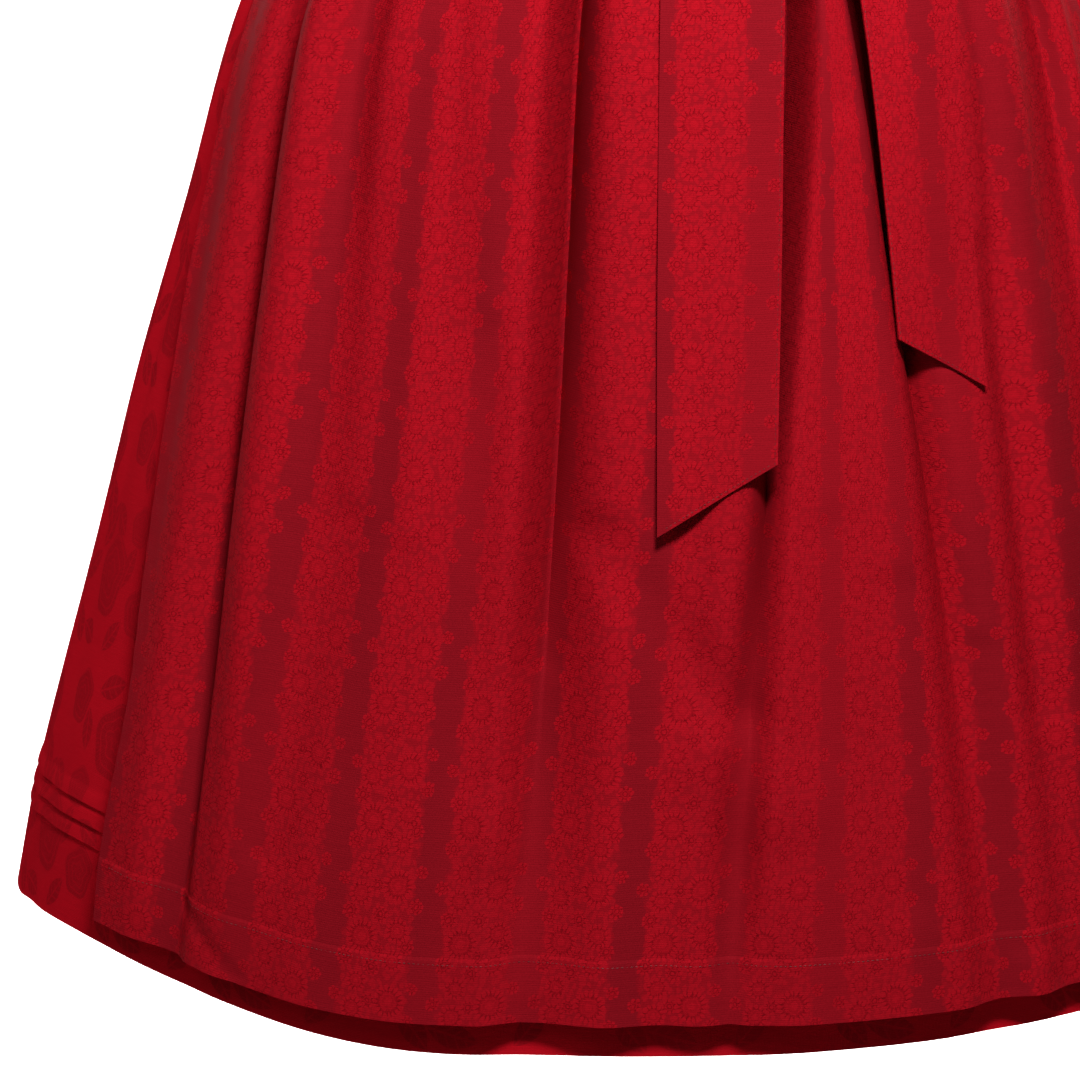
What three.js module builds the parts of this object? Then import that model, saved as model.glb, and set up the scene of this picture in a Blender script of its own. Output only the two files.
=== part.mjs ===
// Dirndl: a fitted sleeveless bodice with a buttoned front, a gathered skirt with three
// pintucks above its hem, and a gathered apron whose ties are wound round the waist and
// tied in a bow at the front. Every piece of cloth is a closed wall with its own thickness,
// in the hollow form that it keeps when it is worn.
//
// Units are millimetres. +Z is up, the front faces -Y and +X is to the right of someone who
// looks at the front. The origin lies midway between the shoulder seams, at their height.
// Angles are in degrees round the vertical axis: 0 is the centre front, +90 is +X.

import * as THREE from "three";

// ---- driving sizes -------------------------------------------------------------------

const SHOULDER_ABOVE_WAIST = 392;
const SKIRT_DROP = 676;            // from the waist seam down to the hem at the centre front
const SIDE_HEM_RISE = 18;          // how much higher the hem hangs at the sides
// Places where the hem swings up, or down where the rise is negative, on the left front.
const HEM_SWINGS = [
  { angle: -61, reach: 30, rise: 11 },
  { angle: -24, reach: 20, rise: -6 },
];
const SEAM_GAP = 0.3;
const SKIRT_CLOTH = 1.5;
const APRON_CLOTH = 1.2;
const BODICE_CLOTH = 1.8;
const TIE_CLOTH = 1.5;

const SKIRT_SEAMS = [-45, 45, 135, 225];
const SKIRT_COLUMNS_PER_PANEL = 30;
// Gathers round the whole waist: the shares of the drop where they begin, are full, begin to
// fade and are gone.
const GATHERS = { count: 30, depth: 4, from: 0.004, full: 0.05, fade: 0.1, gone: 0.26 };
const APRON_GATHER_SHARE = 0.7;    // how deep the apron's gathers are beside the skirt's
const FOLDS = { from: 0.03, full: 0.15 };
const PINTUCKS = { count: 3, lowest: 49, spacing: 11, stand: 1.3, edge: 0.6, edgeStand: 0.3 };

const APRON_COLUMNS = 62;
const APRON_TOP_DROP = 18;         // the lower edge of the waistband
const APRON_HEM_SHARE = 0.97;      // where the apron ends, as a share of the skirt's drop
const APRON_HEM_DEPTH = 34;
const APRON_HEM_FOLD = 0.5;        // extra thickness of the turned-up hem
const APRON_OFF = { top: 2.1, hem: 14.1 };   // how far it stands off the skirt's form
// The skirt takes the apron's folds, wider by these degrees, and less from a share down.
const UNDER_APRON = { wider: 1.6, lessFrom: 0.4, less: 0.75 };
const BAND = { top: 16, bottom: -18, reach: 80 };

const TIE = { top: 12, bottom: -16, leavesBand: 2, clearOfBand: 14, crossingFrom: 155, crossingTo: 166 };
const BOW = { angle: 35, height: -2, halfWidth: 17, halfHeight: 20, halfDepth: 12, squareness: 0.6 };
// A loop turns back this many degrees round the waist from the knot. Its width and the drop
// of its middle grow from the knot out, and its two layers stand apart by its puff.
const LOOP = {
  length: 52, leftGap: 3.1, rightGap: 0.9, startWidth: 22, width: 58, widestAt: 0.45,
  startDrop: 2, drop: 44, droop: 1.3, puff: 15, puffShape: 0.7, lean: 7, leansBy: 0.4,
};

const BUTTONS = { count: 6, radius: 6.2, dome: 4.4, lowest: 32, spacing: 30 };
const PLACKET = { halfWidth: 12, top: 190, cloth: 1.2 };

const RED = {
  skirt: new THREE.Color(0.46, 0.012, 0.026),
  apron: new THREE.Color(0.42, 0.011, 0.024),
  button: new THREE.Color(0.4, 0.011, 0.022),
};

// ---- tables --------------------------------------------------------------------------

// The skirt's outer form: at each drop below the waist, the half width and the depth of the
// front and of the back.
const SKIRT_FORM = [
  { drop: 0, side: 127, front: 92, back: 88 },
  { drop: 22, side: 128.5, front: 93.5, back: 89.5 },
  { drop: 40, side: 148, front: 111, back: 108 },
  { drop: 62, side: 178, front: 135, back: 133 },
  { drop: 100, side: 209, front: 156, back: 158 },
  { drop: 154, side: 235, front: 175, back: 183 },
  { drop: 267, side: 267, front: 200, back: 212 },
  { drop: 382, side: 299, front: 226, back: 240 },
  { drop: 499, side: 329, front: 250, back: 265 },
  { drop: 618, side: 359, front: 275, back: 288 },
  { drop: 676, side: 370, front: 283, back: 296 },
];

// The bodice's outer form above the waist: half width, front depth, back depth, how square
// the section is (2 is an ellipse), and how far the section's middle lies towards the back.
const BODICE_FORM = [
  { height: 0, side: 127, front: 92, back: 88, square: 2.0, shift: 0 },
  { height: 60, side: 133, front: 96, back: 88, square: 2.15, shift: 1 },
  { height: 110, side: 142, front: 104, back: 92, square: 2.25, shift: 2 },
  { height: 150, side: 150, front: 117, back: 98, square: 2.3, shift: 4 },
  { height: 185, side: 156, front: 125, back: 104, square: 2.3, shift: 6 },
  { height: 220, side: 158, front: 121, back: 108, square: 2.3, shift: 8 },
  { height: 240, side: 158, front: 114, back: 109, square: 2.3, shift: 9 },
];

// The apron's own folds, each a trough that runs down the cloth. The angles, the depths and
// the reach of each flank are given near the top, the middle and the hem.
const APRON_FOLDS = [
  { name: "edge hollow", angle: [-63, -56, -50], depth: [3, 3, 1], left: 5, right: 5 },
  { name: "deep left fold", angle: [-52.5, -46.5, -43.5], depth: [17, 19, 5], left: 8, right: 3.6 },
  { name: "second fold", angle: [-40, -34.5, -33], depth: [7, 3, 0], left: 5, right: 5.5 },
  { name: "gentle hollow", angle: [-24, -21, -19], depth: [2, 2.5, 2], left: 8, right: 6 },
  { name: "centre fold", angle: [-9.4, -9.4, -11], depth: [14, 8, 1], left: 3.2, right: 6.5 },
  { name: "soft hollow", angle: [4, 3, 6.8], depth: [2, 1, 4], left: 5, right: 4 },
  { name: "fold under the long tail", angle: [16.4, 12.4, 12], depth: [16, 7, 1], left: 4.6, right: 4.2 },
  { name: "fold under the short tail", angle: [25, 25, 24], depth: [15, 3, 2], left: 3.2, right: 6 },
  { name: "low right fold", angle: [36, 31.6, 31.4], depth: [3, 5, 4], left: 4, right: 4.5 },
  { name: "right fold", angle: [51, 46, 42], depth: [10, 8, 4], left: 4.5, right: 7 },
  { name: "right edge hollow", angle: [63, 56, 50], depth: [4, 4, 2], left: 5, right: 5 },
];

// The folds of the skirt where no apron lies on it.
const SKIRT_FOLDS = [
  { name: "left side, front", angle: [-79, -76, -74], depth: [5, 5, 4], left: 6, right: 6 },
  { name: "left side, back", angle: [-96, -97, -98], depth: [8, 10, 10], left: 6.5, right: 8 },
  { name: "left back, outer", angle: [-113, -115, -117], depth: [10, 13, 14], left: 8, right: 6.5 },
  { name: "left back, middle", angle: [-129, -131, -132], depth: [9, 12, 13], left: 6, right: 7 },
  { name: "left back, inner", angle: [-147, -148, -149], depth: [11, 16, 15], left: 7.5, right: 6.5 },
  { name: "back, left", angle: [-164, -166, -167], depth: [8, 11, 12], left: 6.5, right: 7.5 },
  { name: "back, middle", angle: [-180, -182, -183], depth: [11, 15, 16], left: 7, right: 6.5 },
  { name: "back, right", angle: [163, 162, 161], depth: [8, 10, 12], left: 7, right: 6.5 },
  { name: "right back, inner", angle: [146, 146, 145], depth: [10, 14, 14], left: 6.5, right: 7.5 },
  { name: "right back, middle", angle: [131, 129, 128], depth: [9, 11, 12], left: 7, right: 6 },
  { name: "right back, outer", angle: [114, 112, 111], depth: [11, 15, 15], left: 6.5, right: 8 },
  { name: "right side, back", angle: [97, 96, 95], depth: [7, 9, 10], left: 7.5, right: 6.5 },
  { name: "right side, front", angle: [80, 78, 76], depth: [5, 6, 5], left: 6, right: 6 },
];

// The apron's free edge: its angle from the centre front at each share of the drop.
const APRON_EDGE = [
  { share: 0.0, angle: 74 },
  { share: 0.2, angle: 71.2 },
  { share: 0.38, angle: 68.2 },
  { share: 0.54, angle: 63.5 },
  { share: 0.67, angle: 60 },
  { share: 0.8, angle: 56.8 },
  { share: 0.9, angle: 56 },
  { share: 0.97, angle: 55 },
];

// The bow's two tails: across and width at each height below the waist, and how far the
// cloth stands off the apron.
const LONG_TAIL = [
  { drop: 22.4, across: 63, width: 21, off: 8 },
  { drop: 45, across: 52, width: 34, off: 4 },
  { drop: 70, across: 40, width: 50, off: 1.5 },
  { drop: 100, across: 30, width: 61, off: 1 },
  { drop: 130, across: 28, width: 66, off: 1 },
  { drop: 250, across: 26.5, width: 66, off: 1 },
  { drop: 385, across: 25, width: 64, off: 1 },
];
const SHORT_TAIL = [
  { drop: 22.4, across: 87, width: 21, off: 8 },
  { drop: 45, across: 97, width: 32, off: 4 },
  { drop: 70, across: 109, width: 43, off: 1.5 },
  { drop: 100, across: 120, width: 49, off: 1 },
  { drop: 130, across: 127, width: 51, off: 1 },
  { drop: 209, across: 135, width: 48, off: 1 },
  { drop: 320, across: 146, width: 48, off: 1 },
];
const LONG_TAIL_SLANT = 36;        // how much lower the tail ends on its left edge
const SHORT_TAIL_SLANT = -28;      // and here on its right edge

// The bodice's seams and edges, from the centre line outwards.
const FRONT_SEAM = [
  { height: 0, across: 60 },
  { height: 60, across: 70 },
  { height: 115, across: 84 },
  { height: 150, across: 93 },
  { height: 190, across: 108 },
  { height: 225, across: 119 },
];
const BACK_SEAM = [
  { height: 0, across: 48 },
  { height: 60, across: 58 },
  { height: 115, across: 74 },
  { height: 165, across: 92 },
  { height: 225, across: 116 },
];
const NECK_BASE = 200;              // the height of the lowest point of the front neckline
const FRONT_NECK = [
  { height: 200, across: 0 },
  { height: 205, across: 38 },
  { height: 213, across: 62 },
  { height: 225, across: 76 },
  { height: 240, across: 82 },
];
const SEAM_HEIGHTS = [0.15, 30, 60, 90, 115, 140, 165, 190, 200, 205, 213, 225];
// How far the armhole dips below its seams at the side, and the height where its dip begins.
const ARMHOLE = { dip: 20, from: 165 };
const SHOULDER = { base: 240, atNeck: 392, neckAcross: 70, slope: 0.32, middle: 9 };
const FRONT_STRAP = { round: 1.7, inner: [82, 79, 76, 73, 72, 71], outer: [122, 124, 126, 127, 128, 128] };
const BACK_STRAP = {
  round: 2.3,
  share: [0, 0.2, 0.31, 0.36, 0.45, 0.62, 0.82, 1],
  inner: [0, 0, 0, 36, 56, 66, 70, 71],
  outer: [119, 121, 122, 122, 124, 126, 128, 128],
};
const FRONT_STRAP_SHARE = [0, 0.3, 0.56, 0.78, 0.93, 1];

// ---- small tools ---------------------------------------------------------------------

const radians = THREE.MathUtils.degToRad;
const degrees = THREE.MathUtils.radToDeg;
const mix = THREE.MathUtils.lerp;
const ease = THREE.MathUtils.smoothstep;
const clamp = THREE.MathUtils.clamp;
const point = (x, y, z) => new THREE.Vector3(x, y, z);
const signedPower = (value, power) => Math.sign(value) * Math.abs(value) ** power;

// A smooth curve through a table: the value of one column at a place in another.
function readTable(table, place, at, column) {
  const last = table.length - 1;
  const spot = clamp(at, table[0][place], table[last][place]);
  let row = 0;
  while (row < last - 1 && spot > table[row + 1][place]) row += 1;
  const rise = (i) => (table[i + 1][column] - table[i][column]) / (table[i + 1][place] - table[i][place]);
  const slope = (i) => {
    if (i === 0) return rise(0);
    if (i === last) return rise(last - 1);
    const [before, after] = [rise(i - 1), rise(i)];
    return before * after <= 0 ? 0 : (2 * before * after) / (before + after);
  };
  const [from, to] = [table[row], table[row + 1]];
  const step = to[place] - from[place];
  const k = (spot - from[place]) / step;
  return (
    (2 * k ** 3 - 3 * k ** 2 + 1) * from[column] +
    (k ** 3 - 2 * k ** 2 + k) * step * slope(row) +
    (3 * k ** 2 - 2 * k ** 3) * to[column] +
    (k ** 3 - k ** 2) * step * slope(row + 1)
  );
}

// Straight lines through a table.
function readLine(table, place, at, column) {
  let row = 0;
  while (row < table.length - 2 && at > table[row + 1][place]) row += 1;
  const [from, to] = [table[row], table[row + 1]];
  const k = clamp((at - from[place]) / (to[place] - from[place]), 0, 1);
  return mix(from[column], to[column], k);
}

const evenSteps = (from, to, count) =>
  Array.from({ length: count + 1 }, (_, i) => mix(from, to, i / count));

// ---- closed walls --------------------------------------------------------------------

// A closed wall of cloth. surface(c, r, raise) gives the outer face; columns run to the
// right and rows run down, as seen from outside. The inner face may have fewer rows. raise
// lifts the outer face alone, row by row, and firstOutward, where it is given, is the
// outward direction along the first row.
function clothWall({ surface, columns, rows, innerRows = rows, thickness, raise = () => 0, firstOutward }) {
  const reachC = (columns[1] - columns[0]) * 0.02;
  const reachR = (rows.at(-1) - rows[0]) * 0.0005;
  const outward = (c, r) => {
    if (firstOutward && r === rows[0]) return firstOutward.clone().normalize();
    const along = surface(c + reachC, r, 0).sub(surface(c - reachC, r, 0));
    const down = surface(c, r + reachR, 0).sub(surface(c, r - reachR, 0));
    return down.cross(along).normalize();
  };
  const vertices = [];
  const addFace = (rowList, shape) =>
    rowList.map((r) =>
      columns.map((c) => {
        const spot = shape(c, r);
        vertices.push(spot.x, spot.y, spot.z);
        return vertices.length / 3 - 1;
      }),
    );
  const outer = addFace(rows, (c, r) => surface(c, r, raise(r)));
  const inner = addFace(innerRows, (c, r) => surface(c, r, 0).addScaledVector(outward(c, r), -thickness));

  const triangles = [];
  const add = (a, b, c) => triangles.push(a, b, c);
  const addQuads = (grid, flip) => {
    for (let j = 0; j < grid.length - 1; j += 1) {
      for (let i = 0; i < columns.length - 1; i += 1) {
        const corners = [grid[j][i], grid[j + 1][i], grid[j + 1][i + 1], grid[j][i + 1]];
        if (flip) corners.reverse();
        add(corners[0], corners[1], corners[2]);
        add(corners[0], corners[2], corners[3]);
      }
    }
  };
  addQuads(outer, false);
  addQuads(inner, true);

  const ends = [
    { out: outer[0], in: inner[0], flip: false },
    { out: outer.at(-1), in: inner.at(-1), flip: true },
  ];
  for (const end of ends) {
    for (let i = 0; i < columns.length - 1; i += 1) {
      const corners = [end.out[i], end.out[i + 1], end.in[i + 1], end.in[i]];
      if (end.flip) corners.reverse();
      add(corners[0], corners[1], corners[2]);
      add(corners[0], corners[2], corners[3]);
    }
  }

  // The side edges join two lines of points that may differ in number.
  const addSide = (column, flip) => {
    let [i, j] = [0, 0];
    while (i < rows.length - 1 || j < innerRows.length - 1) {
      const nextOuter = i < rows.length - 1 ? Math.abs(rows[i + 1] - rows[0]) : Infinity;
      const nextInner = j < innerRows.length - 1 ? Math.abs(innerRows[j + 1] - rows[0]) : Infinity;
      const stepOuter = nextOuter <= nextInner;
      const from = outer[i][column];
      const across = inner[j][column];
      const next = stepOuter ? outer[i + 1][column] : inner[j + 1][column];
      if (flip) add(from, next, across);
      else add(from, across, next);
      if (stepOuter) i += 1;
      else j += 1;
    }
  };
  addSide(0, false);
  addSide(columns.length - 1, true);

  const geometry = new THREE.BufferGeometry();
  geometry.setAttribute("position", new THREE.Float32BufferAttribute(vertices, 3));
  geometry.setIndex(triangles);
  geometry.computeVertexNormals();
  return geometry;
}

// ---- the form of the skirt and of the apron -------------------------------------------

// The signed angle from one direction round the body to another.
const turnFrom = (angle, from) => ((((angle - from) % 360) + 540) % 360) - 180;

function hemRise(angle) {
  let rise = SIDE_HEM_RISE * Math.sin(radians(angle)) ** 2;
  for (const swing of HEM_SWINGS) {
    const away = turnFrom(angle, swing.angle) / swing.reach;
    if (Math.abs(away) < 1) rise += (swing.rise * (1 + Math.cos(Math.PI * away))) / 2;
  }
  return rise;
}

const dropAt = (angle, share) => share * (SKIRT_DROP - hemRise(angle));

// A place on the skirt's form, moved out level with the ground.
function skirtPlace(angle, share, out) {
  const [sine, cosine] = [Math.sin(radians(angle)), Math.cos(radians(angle))];
  const level = share * SKIRT_DROP;
  const side = readTable(SKIRT_FORM, "drop", level, "side");
  const depth = readTable(SKIRT_FORM, "drop", level, cosine > 0 ? "front" : "back");
  const away = point(sine / side, -cosine / depth, 0).normalize();
  return point(side * sine, -depth * cosine, -dropAt(angle, share)).addScaledVector(away, out);
}

const FOLD_SHARES = [0.2, 0.55, 0.95];
const threePoints = (values) => FOLD_SHARES.map((share, i) => ({ share, value: values[i] }));
for (const fold of [...APRON_FOLDS, ...SKIRT_FOLDS]) {
  fold.angleLine = threePoints(fold.angle);
  fold.depthLine = threePoints(fold.depth);
}

// How deep the troughs of a table are at one place. widen makes each flank reach further.
function troughs(folds, angle, share, widen = 0) {
  let sum = 0;
  for (const fold of folds) {
    const middle = readTable(fold.angleLine, "share", share, "value");
    const away = turnFrom(angle, middle);
    const reach = (away < 0 ? fold.left : fold.right) + widen;
    if (Math.abs(away) < reach) {
      const depth = Math.max(0, readTable(fold.depthLine, "share", share, "value"));
      sum += (depth * (1 + Math.cos((Math.PI * away) / reach))) / 2;
    }
  }
  return sum;
}

const foldsBegin = (share) => ease(share, FOLDS.from, FOLDS.full);

function gathers(angle, share) {
  const begun = ease(share, GATHERS.from, GATHERS.full);
  const strength = GATHERS.depth * begun * (1 - ease(share, GATHERS.fade, GATHERS.gone));
  return (strength * (1 - Math.cos(radians(angle * GATHERS.count)))) / 2;
}

const apronTroughs = (angle, share) =>
  APRON_GATHER_SHARE * gathers(angle, share) + foldsBegin(share) * troughs(APRON_FOLDS, angle, share);
const followsApron = (share) => 1 - UNDER_APRON.less * ease(share, UNDER_APRON.lessFrom, 1);
const apronStandsOff = (share) => mix(APRON_OFF.top, APRON_OFF.hem, share);

function skirtSurface(angle, share, raise) {
  const apron = troughs(APRON_FOLDS, angle, share, UNDER_APRON.wider);
  const under = gathers(angle, share) + foldsBegin(share) * followsApron(share) * apron;
  const own = foldsBegin(share) * troughs(SKIRT_FOLDS, angle, share);
  return skirtPlace(angle, share, raise - under - own);
}

// The apron's edge as an angle, and the apron's outer face across it from -1 to +1.
const apronEdge = (share) => readTable(APRON_EDGE, "share", share, "angle");

function apronSurface(across, share, raise) {
  const angle = across * apronEdge(share);
  return skirtPlace(angle, share, apronStandsOff(share) + raise - apronTroughs(angle, share));
}

// ---- the skirt -----------------------------------------------------------------------

const CLOTH_ROWS = [0.0325, 0.06, 0.1, 0.16, 0.24, 0.34, 0.45, 0.57, 0.69, 0.8, 0.87];
const SKIRT_ROWS = [0.0004, ...CLOTH_ROWS];

function pintuckRows() {
  const rows = [];
  for (let i = PINTUCKS.count - 1; i >= 0; i -= 1) {
    const edge = 1 - (PINTUCKS.lowest + i * PINTUCKS.spacing) / SKIRT_DROP;
    rows.push(edge - PINTUCKS.edge / SKIRT_DROP, edge);
  }
  return rows;
}

// Each pintuck is pressed down, so it stands out most at its lower edge.
function pintuckStand(share) {
  const above = (1 - share) * SKIRT_DROP - PINTUCKS.lowest;
  const top = (PINTUCKS.count - 1) * PINTUCKS.spacing + PINTUCKS.edge;
  if (above < PINTUCKS.edge / 2 || above > top + PINTUCKS.edge / 2) return 0;
  const turns = above / PINTUCKS.spacing;
  const fromEdge = Math.abs(turns - Math.round(turns)) * PINTUCKS.spacing;
  return fromEdge < PINTUCKS.edge / 2 ? PINTUCKS.edgeStand : PINTUCKS.stand;
}

function skirtPanel(from, to) {
  const columns = evenSteps(from, to, SKIRT_COLUMNS_PER_PANEL);
  const parting = (angle, share) => {
    const gap = degrees(SEAM_GAP / 2 / mix(SKIRT_FORM[0].front, SKIRT_FORM.at(-1).front, share));
    const place = (angle - from) / (to - from);
    return angle + gap * (1 - 2 * place);
  };
  return clothWall({
    surface: (angle, share, raise) => skirtSurface(parting(angle, share), share, raise),
    columns,
    rows: [...SKIRT_ROWS, ...pintuckRows(), 1],
    innerRows: [...SKIRT_ROWS, 1],
    thickness: SKIRT_CLOTH,
    raise: pintuckStand,
  });
}

// ---- the apron -----------------------------------------------------------------------

function apronPanel() {
  const top = (APRON_TOP_DROP + SEAM_GAP) / SKIRT_DROP;
  const hem = APRON_HEM_SHARE - APRON_HEM_DEPTH / SKIRT_DROP;
  const rows = [top, ...CLOTH_ROWS, hem - 0.001, hem];
  return clothWall({
    surface: apronSurface,
    columns: evenSteps(-1, 1, APRON_COLUMNS),
    rows: [...rows, APRON_HEM_SHARE],
    innerRows: [...rows.slice(0, -2), hem, APRON_HEM_SHARE],
    thickness: APRON_CLOTH,
    raise: (share) => (share >= hem ? APRON_HEM_FOLD : 0),
  });
}

// A place round the waist, on the bodice above the seam and on the skirt below it.
function waistPlace(angle, height, out) {
  if (height < 0) return skirtPlace(angle, -height / SKIRT_DROP, out);
  return bodicePlace(angle, height, out);
}

function waistStrip({ from, to, count, top, bottom, outAt, thickness }) {
  return clothWall({
    surface: (angle, height) => waistPlace(angle, height, outAt(angle)),
    columns: evenSteps(from, to, count),
    rows: [top, (top + bottom) / 2, bottom],
    thickness,
  });
}

const BAND_OUT = SEAM_GAP + APRON_CLOTH + 0.4;

function apronBand() {
  return waistStrip({
    from: -BAND.reach,
    to: BAND.reach,
    count: 32,
    ...BAND,
    outAt: () => BAND_OUT,
    thickness: BAND_OUT - SEAM_GAP,
  });
}

// Each tie lies over the waistband in front and on the dress at the back, where the left
// one crosses over the right one.
function tieWrap(from, to, overAtBack) {
  const outAt = (angle) => {
    const away = Math.abs(angle);
    const onBand = 1 - ease(away, BAND.reach + TIE.leavesBand, BAND.reach + TIE.clearOfBand);
    const crossing = overAtBack * ease(away, TIE.crossingFrom, TIE.crossingTo);
    return SEAM_GAP + TIE_CLOTH + onBand * (BAND_OUT + 0.1) + crossing * (TIE_CLOTH + SEAM_GAP);
  };
  const count = Math.round((to - from) / 5);
  return waistStrip({ from, to, count, ...TIE, outAt, thickness: TIE_CLOTH });
}

// ---- the bow -------------------------------------------------------------------------

const BAND_AND_TIE = BAND_OUT + TIE_CLOTH + 2 * SEAM_GAP;
const KNOT_OUT = BAND_AND_TIE + BOW.halfDepth + 0.5;

// The way along the waist at the knot, in millimetres for each degree.
function knotSide() {
  const [before, after] = [-1, 1].map((step) => waistPlace(BOW.angle + step, BOW.height, KNOT_OUT));
  return after.sub(before).divideScalar(2);
}

function bowKnot() {
  const geometry = new THREE.SphereGeometry(1, 14, 9);
  const spots = geometry.attributes.position;
  for (let i = 0; i < spots.count; i += 1) {
    const [x, y, z] = [spots.getX(i), spots.getY(i), spots.getZ(i)];
    const squared = (value) => signedPower(value, BOW.squareness);
    spots.setXYZ(i, squared(x) * BOW.halfWidth, squared(y) * BOW.halfDepth, squared(z) * BOW.halfHeight);
  }
  return geometry;
}

// A loop of the bow: a strip that leaves the knot, turns round and comes back behind.
function bowLoop(side) {
  const gap = side < 0 ? LOOP.leftGap : LOOP.rightGap;
  const start = (BOW.halfWidth + gap) / knotSide().length();
  const surface = (c, s) => {
    const out = (1 - Math.cos(2 * Math.PI * s)) / 2;
    const angle = BOW.angle + side * (start + LOOP.length * out);
    const width = mix(LOOP.startWidth, LOOP.width, ease(out, 0, LOOP.widestAt));
    const middle = LOOP.startDrop + LOOP.drop * out ** LOOP.droop;
    const apart = LOOP.puff * Math.sin(2 * Math.PI * s) * out ** LOOP.puffShape;
    const puff = apart + TIE_CLOTH * (1 - 2 * s);
    const stand = KNOT_OUT + LOOP.lean * ease(out, 0, LOOP.leansBy);
    const height = -(middle + (c * width) / 2);
    return waistPlace(angle, height, stand + puff);
  };
  return clothWall({
    surface,
    columns: evenSteps(-1, 1, 4),
    rows: evenSteps(0, 1, 22),
    thickness: TIE_CLOTH,
  });
}

// A place on the front at a distance across and a drop, moved out from the skirt's form.
function frontPlace(across, drop, out) {
  let share = drop / SKIRT_DROP;
  let angle = 0;
  for (let i = 0; i < 4; i += 1) {
    const side = readTable(SKIRT_FORM, "drop", share * SKIRT_DROP, "side") + out;
    angle = degrees(Math.asin(clamp(across / side, -1, 1)));
    share = drop / (SKIRT_DROP - hemRise(angle));
  }
  return skirtPlace(angle, share, out);
}

function bowTail(table, slant) {
  const last = table.at(-1).drop;
  const surface = (c, drop) => {
    const share = drop / SKIRT_DROP;
    const width = readTable(table, "drop", drop, "width");
    const across = readTable(table, "drop", drop, "across") + (c * width) / 2;
    const cut = ease(drop, table[4].drop, last) * slant * -c / 2;
    const off = readTable(table, "drop", drop, "off");
    return frontPlace(across, drop + cut, apronStandsOff(share) + TIE_CLOTH + SEAM_GAP + off);
  };
  return clothWall({
    surface,
    columns: evenSteps(-1, 1, 4),
    rows: [...table.slice(0, 5).map((row) => row.drop), ...evenSteps(table[4].drop, last, 6).slice(1)],
    thickness: TIE_CLOTH,
  });
}

// ---- the bodice ----------------------------------------------------------------------

// A place on the bodice's form below the straps.
function bodicePlace(angle, height, out) {
  const read = (column) => readTable(BODICE_FORM, "height", height, column);
  const [sine, cosine] = [Math.sin(radians(angle)), Math.cos(radians(angle))];
  const power = 2 / read("square");
  const depth = read(cosine > 0 ? "front" : "back") + out;
  const x = (read("side") + out) * signedPower(sine, power);
  return point(x, read("shift") - depth * signedPower(cosine, power), height);
}

// The angle at which the form is a given distance across.
function angleAcross(across, height) {
  const side = readTable(BODICE_FORM, "height", height, "side");
  const square = readTable(BODICE_FORM, "height", height, "square");
  return degrees(Math.asin(signedPower(clamp(across / side, -1, 1), square / 2)));
}

// A place on a shoulder strap: share 0 is at the strap's base and 1 is on the shoulder.
function strapPlace(across, share, strap, facing) {
  const base = BODICE_FORM.at(-1);
  const round = (1 - (Math.abs(across) / base.side) ** base.square) ** (1 / base.square);
  const depth = (facing < 0 ? base.front : base.back) * round;
  const top = SHOULDER.atNeck - SHOULDER.slope * (Math.abs(across) - SHOULDER.neckAcross);
  const turn = Math.asin(clamp(share, 0, 1) ** (strap.round / 2));
  const reach = depth * Math.cos(turn) ** (2 / strap.round) + (SEAM_GAP / 2) * share;
  const y = SHOULDER.middle + facing * reach;
  return point(across, y, mix(SHOULDER.base, top, share));
}

// The list of rows of a front or back panel, from the shoulder down to the waist.
function bodiceRows(strap, shares, seam, neckBase) {
  const strapRows = shares.map((share, i) => ({ share, inner: strap.inner[i], outer: strap.outer[i] }));
  const bodyRows = SEAM_HEIGHTS.map((height) => ({
    height,
    inner: height <= neckBase ? 0 : readLine(FRONT_NECK, "height", height, "across"),
    outer: readTable(seam, "height", height, "across"),
  }));
  return [...strapRows.reverse(), ...bodyRows.reverse()];
}

// A front or back panel: side is -1 on the left and +1 on the right, facing -1 is the front.
function bodicePanel(rows, strap, side, facing) {
  const half = SEAM_GAP / 2;
  const panelPoint = (k, row) => {
    const across = mix(row.inner + half, row.outer - half, side > 0 ? k : 1 - k);
    if (row.share !== undefined) return strapPlace(side * across, row.share, strap, facing);
    const angle = side * angleAcross(across, row.height);
    return bodicePlace(facing < 0 ? angle : 180 - angle, row.height, 0);
  };
  const between = (r) => {
    const at = clamp(r, 0, rows.length - 1);
    const row = Math.min(Math.floor(at), rows.length - 2);
    return { upper: rows[row], lower: rows[row + 1], k: at - row };
  };
  const surface = (c, r) => {
    const k = facing < 0 ? c : 1 - c;
    const { upper, lower, k: down } = between(r);
    return panelPoint(k, upper).lerp(panelPoint(k, lower), down);
  };
  return clothWall({
    surface,
    columns: evenSteps(0, 1, 5),
    rows: rows.map((_, i) => i),
    thickness: BODICE_CLOTH,
    firstOutward: point(side * SHOULDER.slope, 0, 1),
  });
}

function bodiceSide(side) {
  const half = SEAM_GAP / 2;
  const top = SEAM_HEIGHTS.at(-1);
  const surface = (k, height) => {
    const bend = Math.max(0, height - ARMHOLE.from) / (top - ARMHOLE.from);
    const dip = ARMHOLE.dip * Math.sin(Math.PI * clamp(k, 0, 1)) ** 2 * bend;
    const front = angleAcross(readTable(FRONT_SEAM, "height", height, "across") + half, height);
    const back = 180 - angleAcross(readTable(BACK_SEAM, "height", height, "across") + half, height);
    const angle = side > 0 ? mix(front, back, k) : -mix(back, front, k);
    return bodicePlace(angle, height - dip, 0);
  };
  return clothWall({
    surface,
    columns: evenSteps(0, 1, 6),
    rows: [...SEAM_HEIGHTS].reverse(),
    thickness: BODICE_CLOTH,
  });
}

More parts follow.
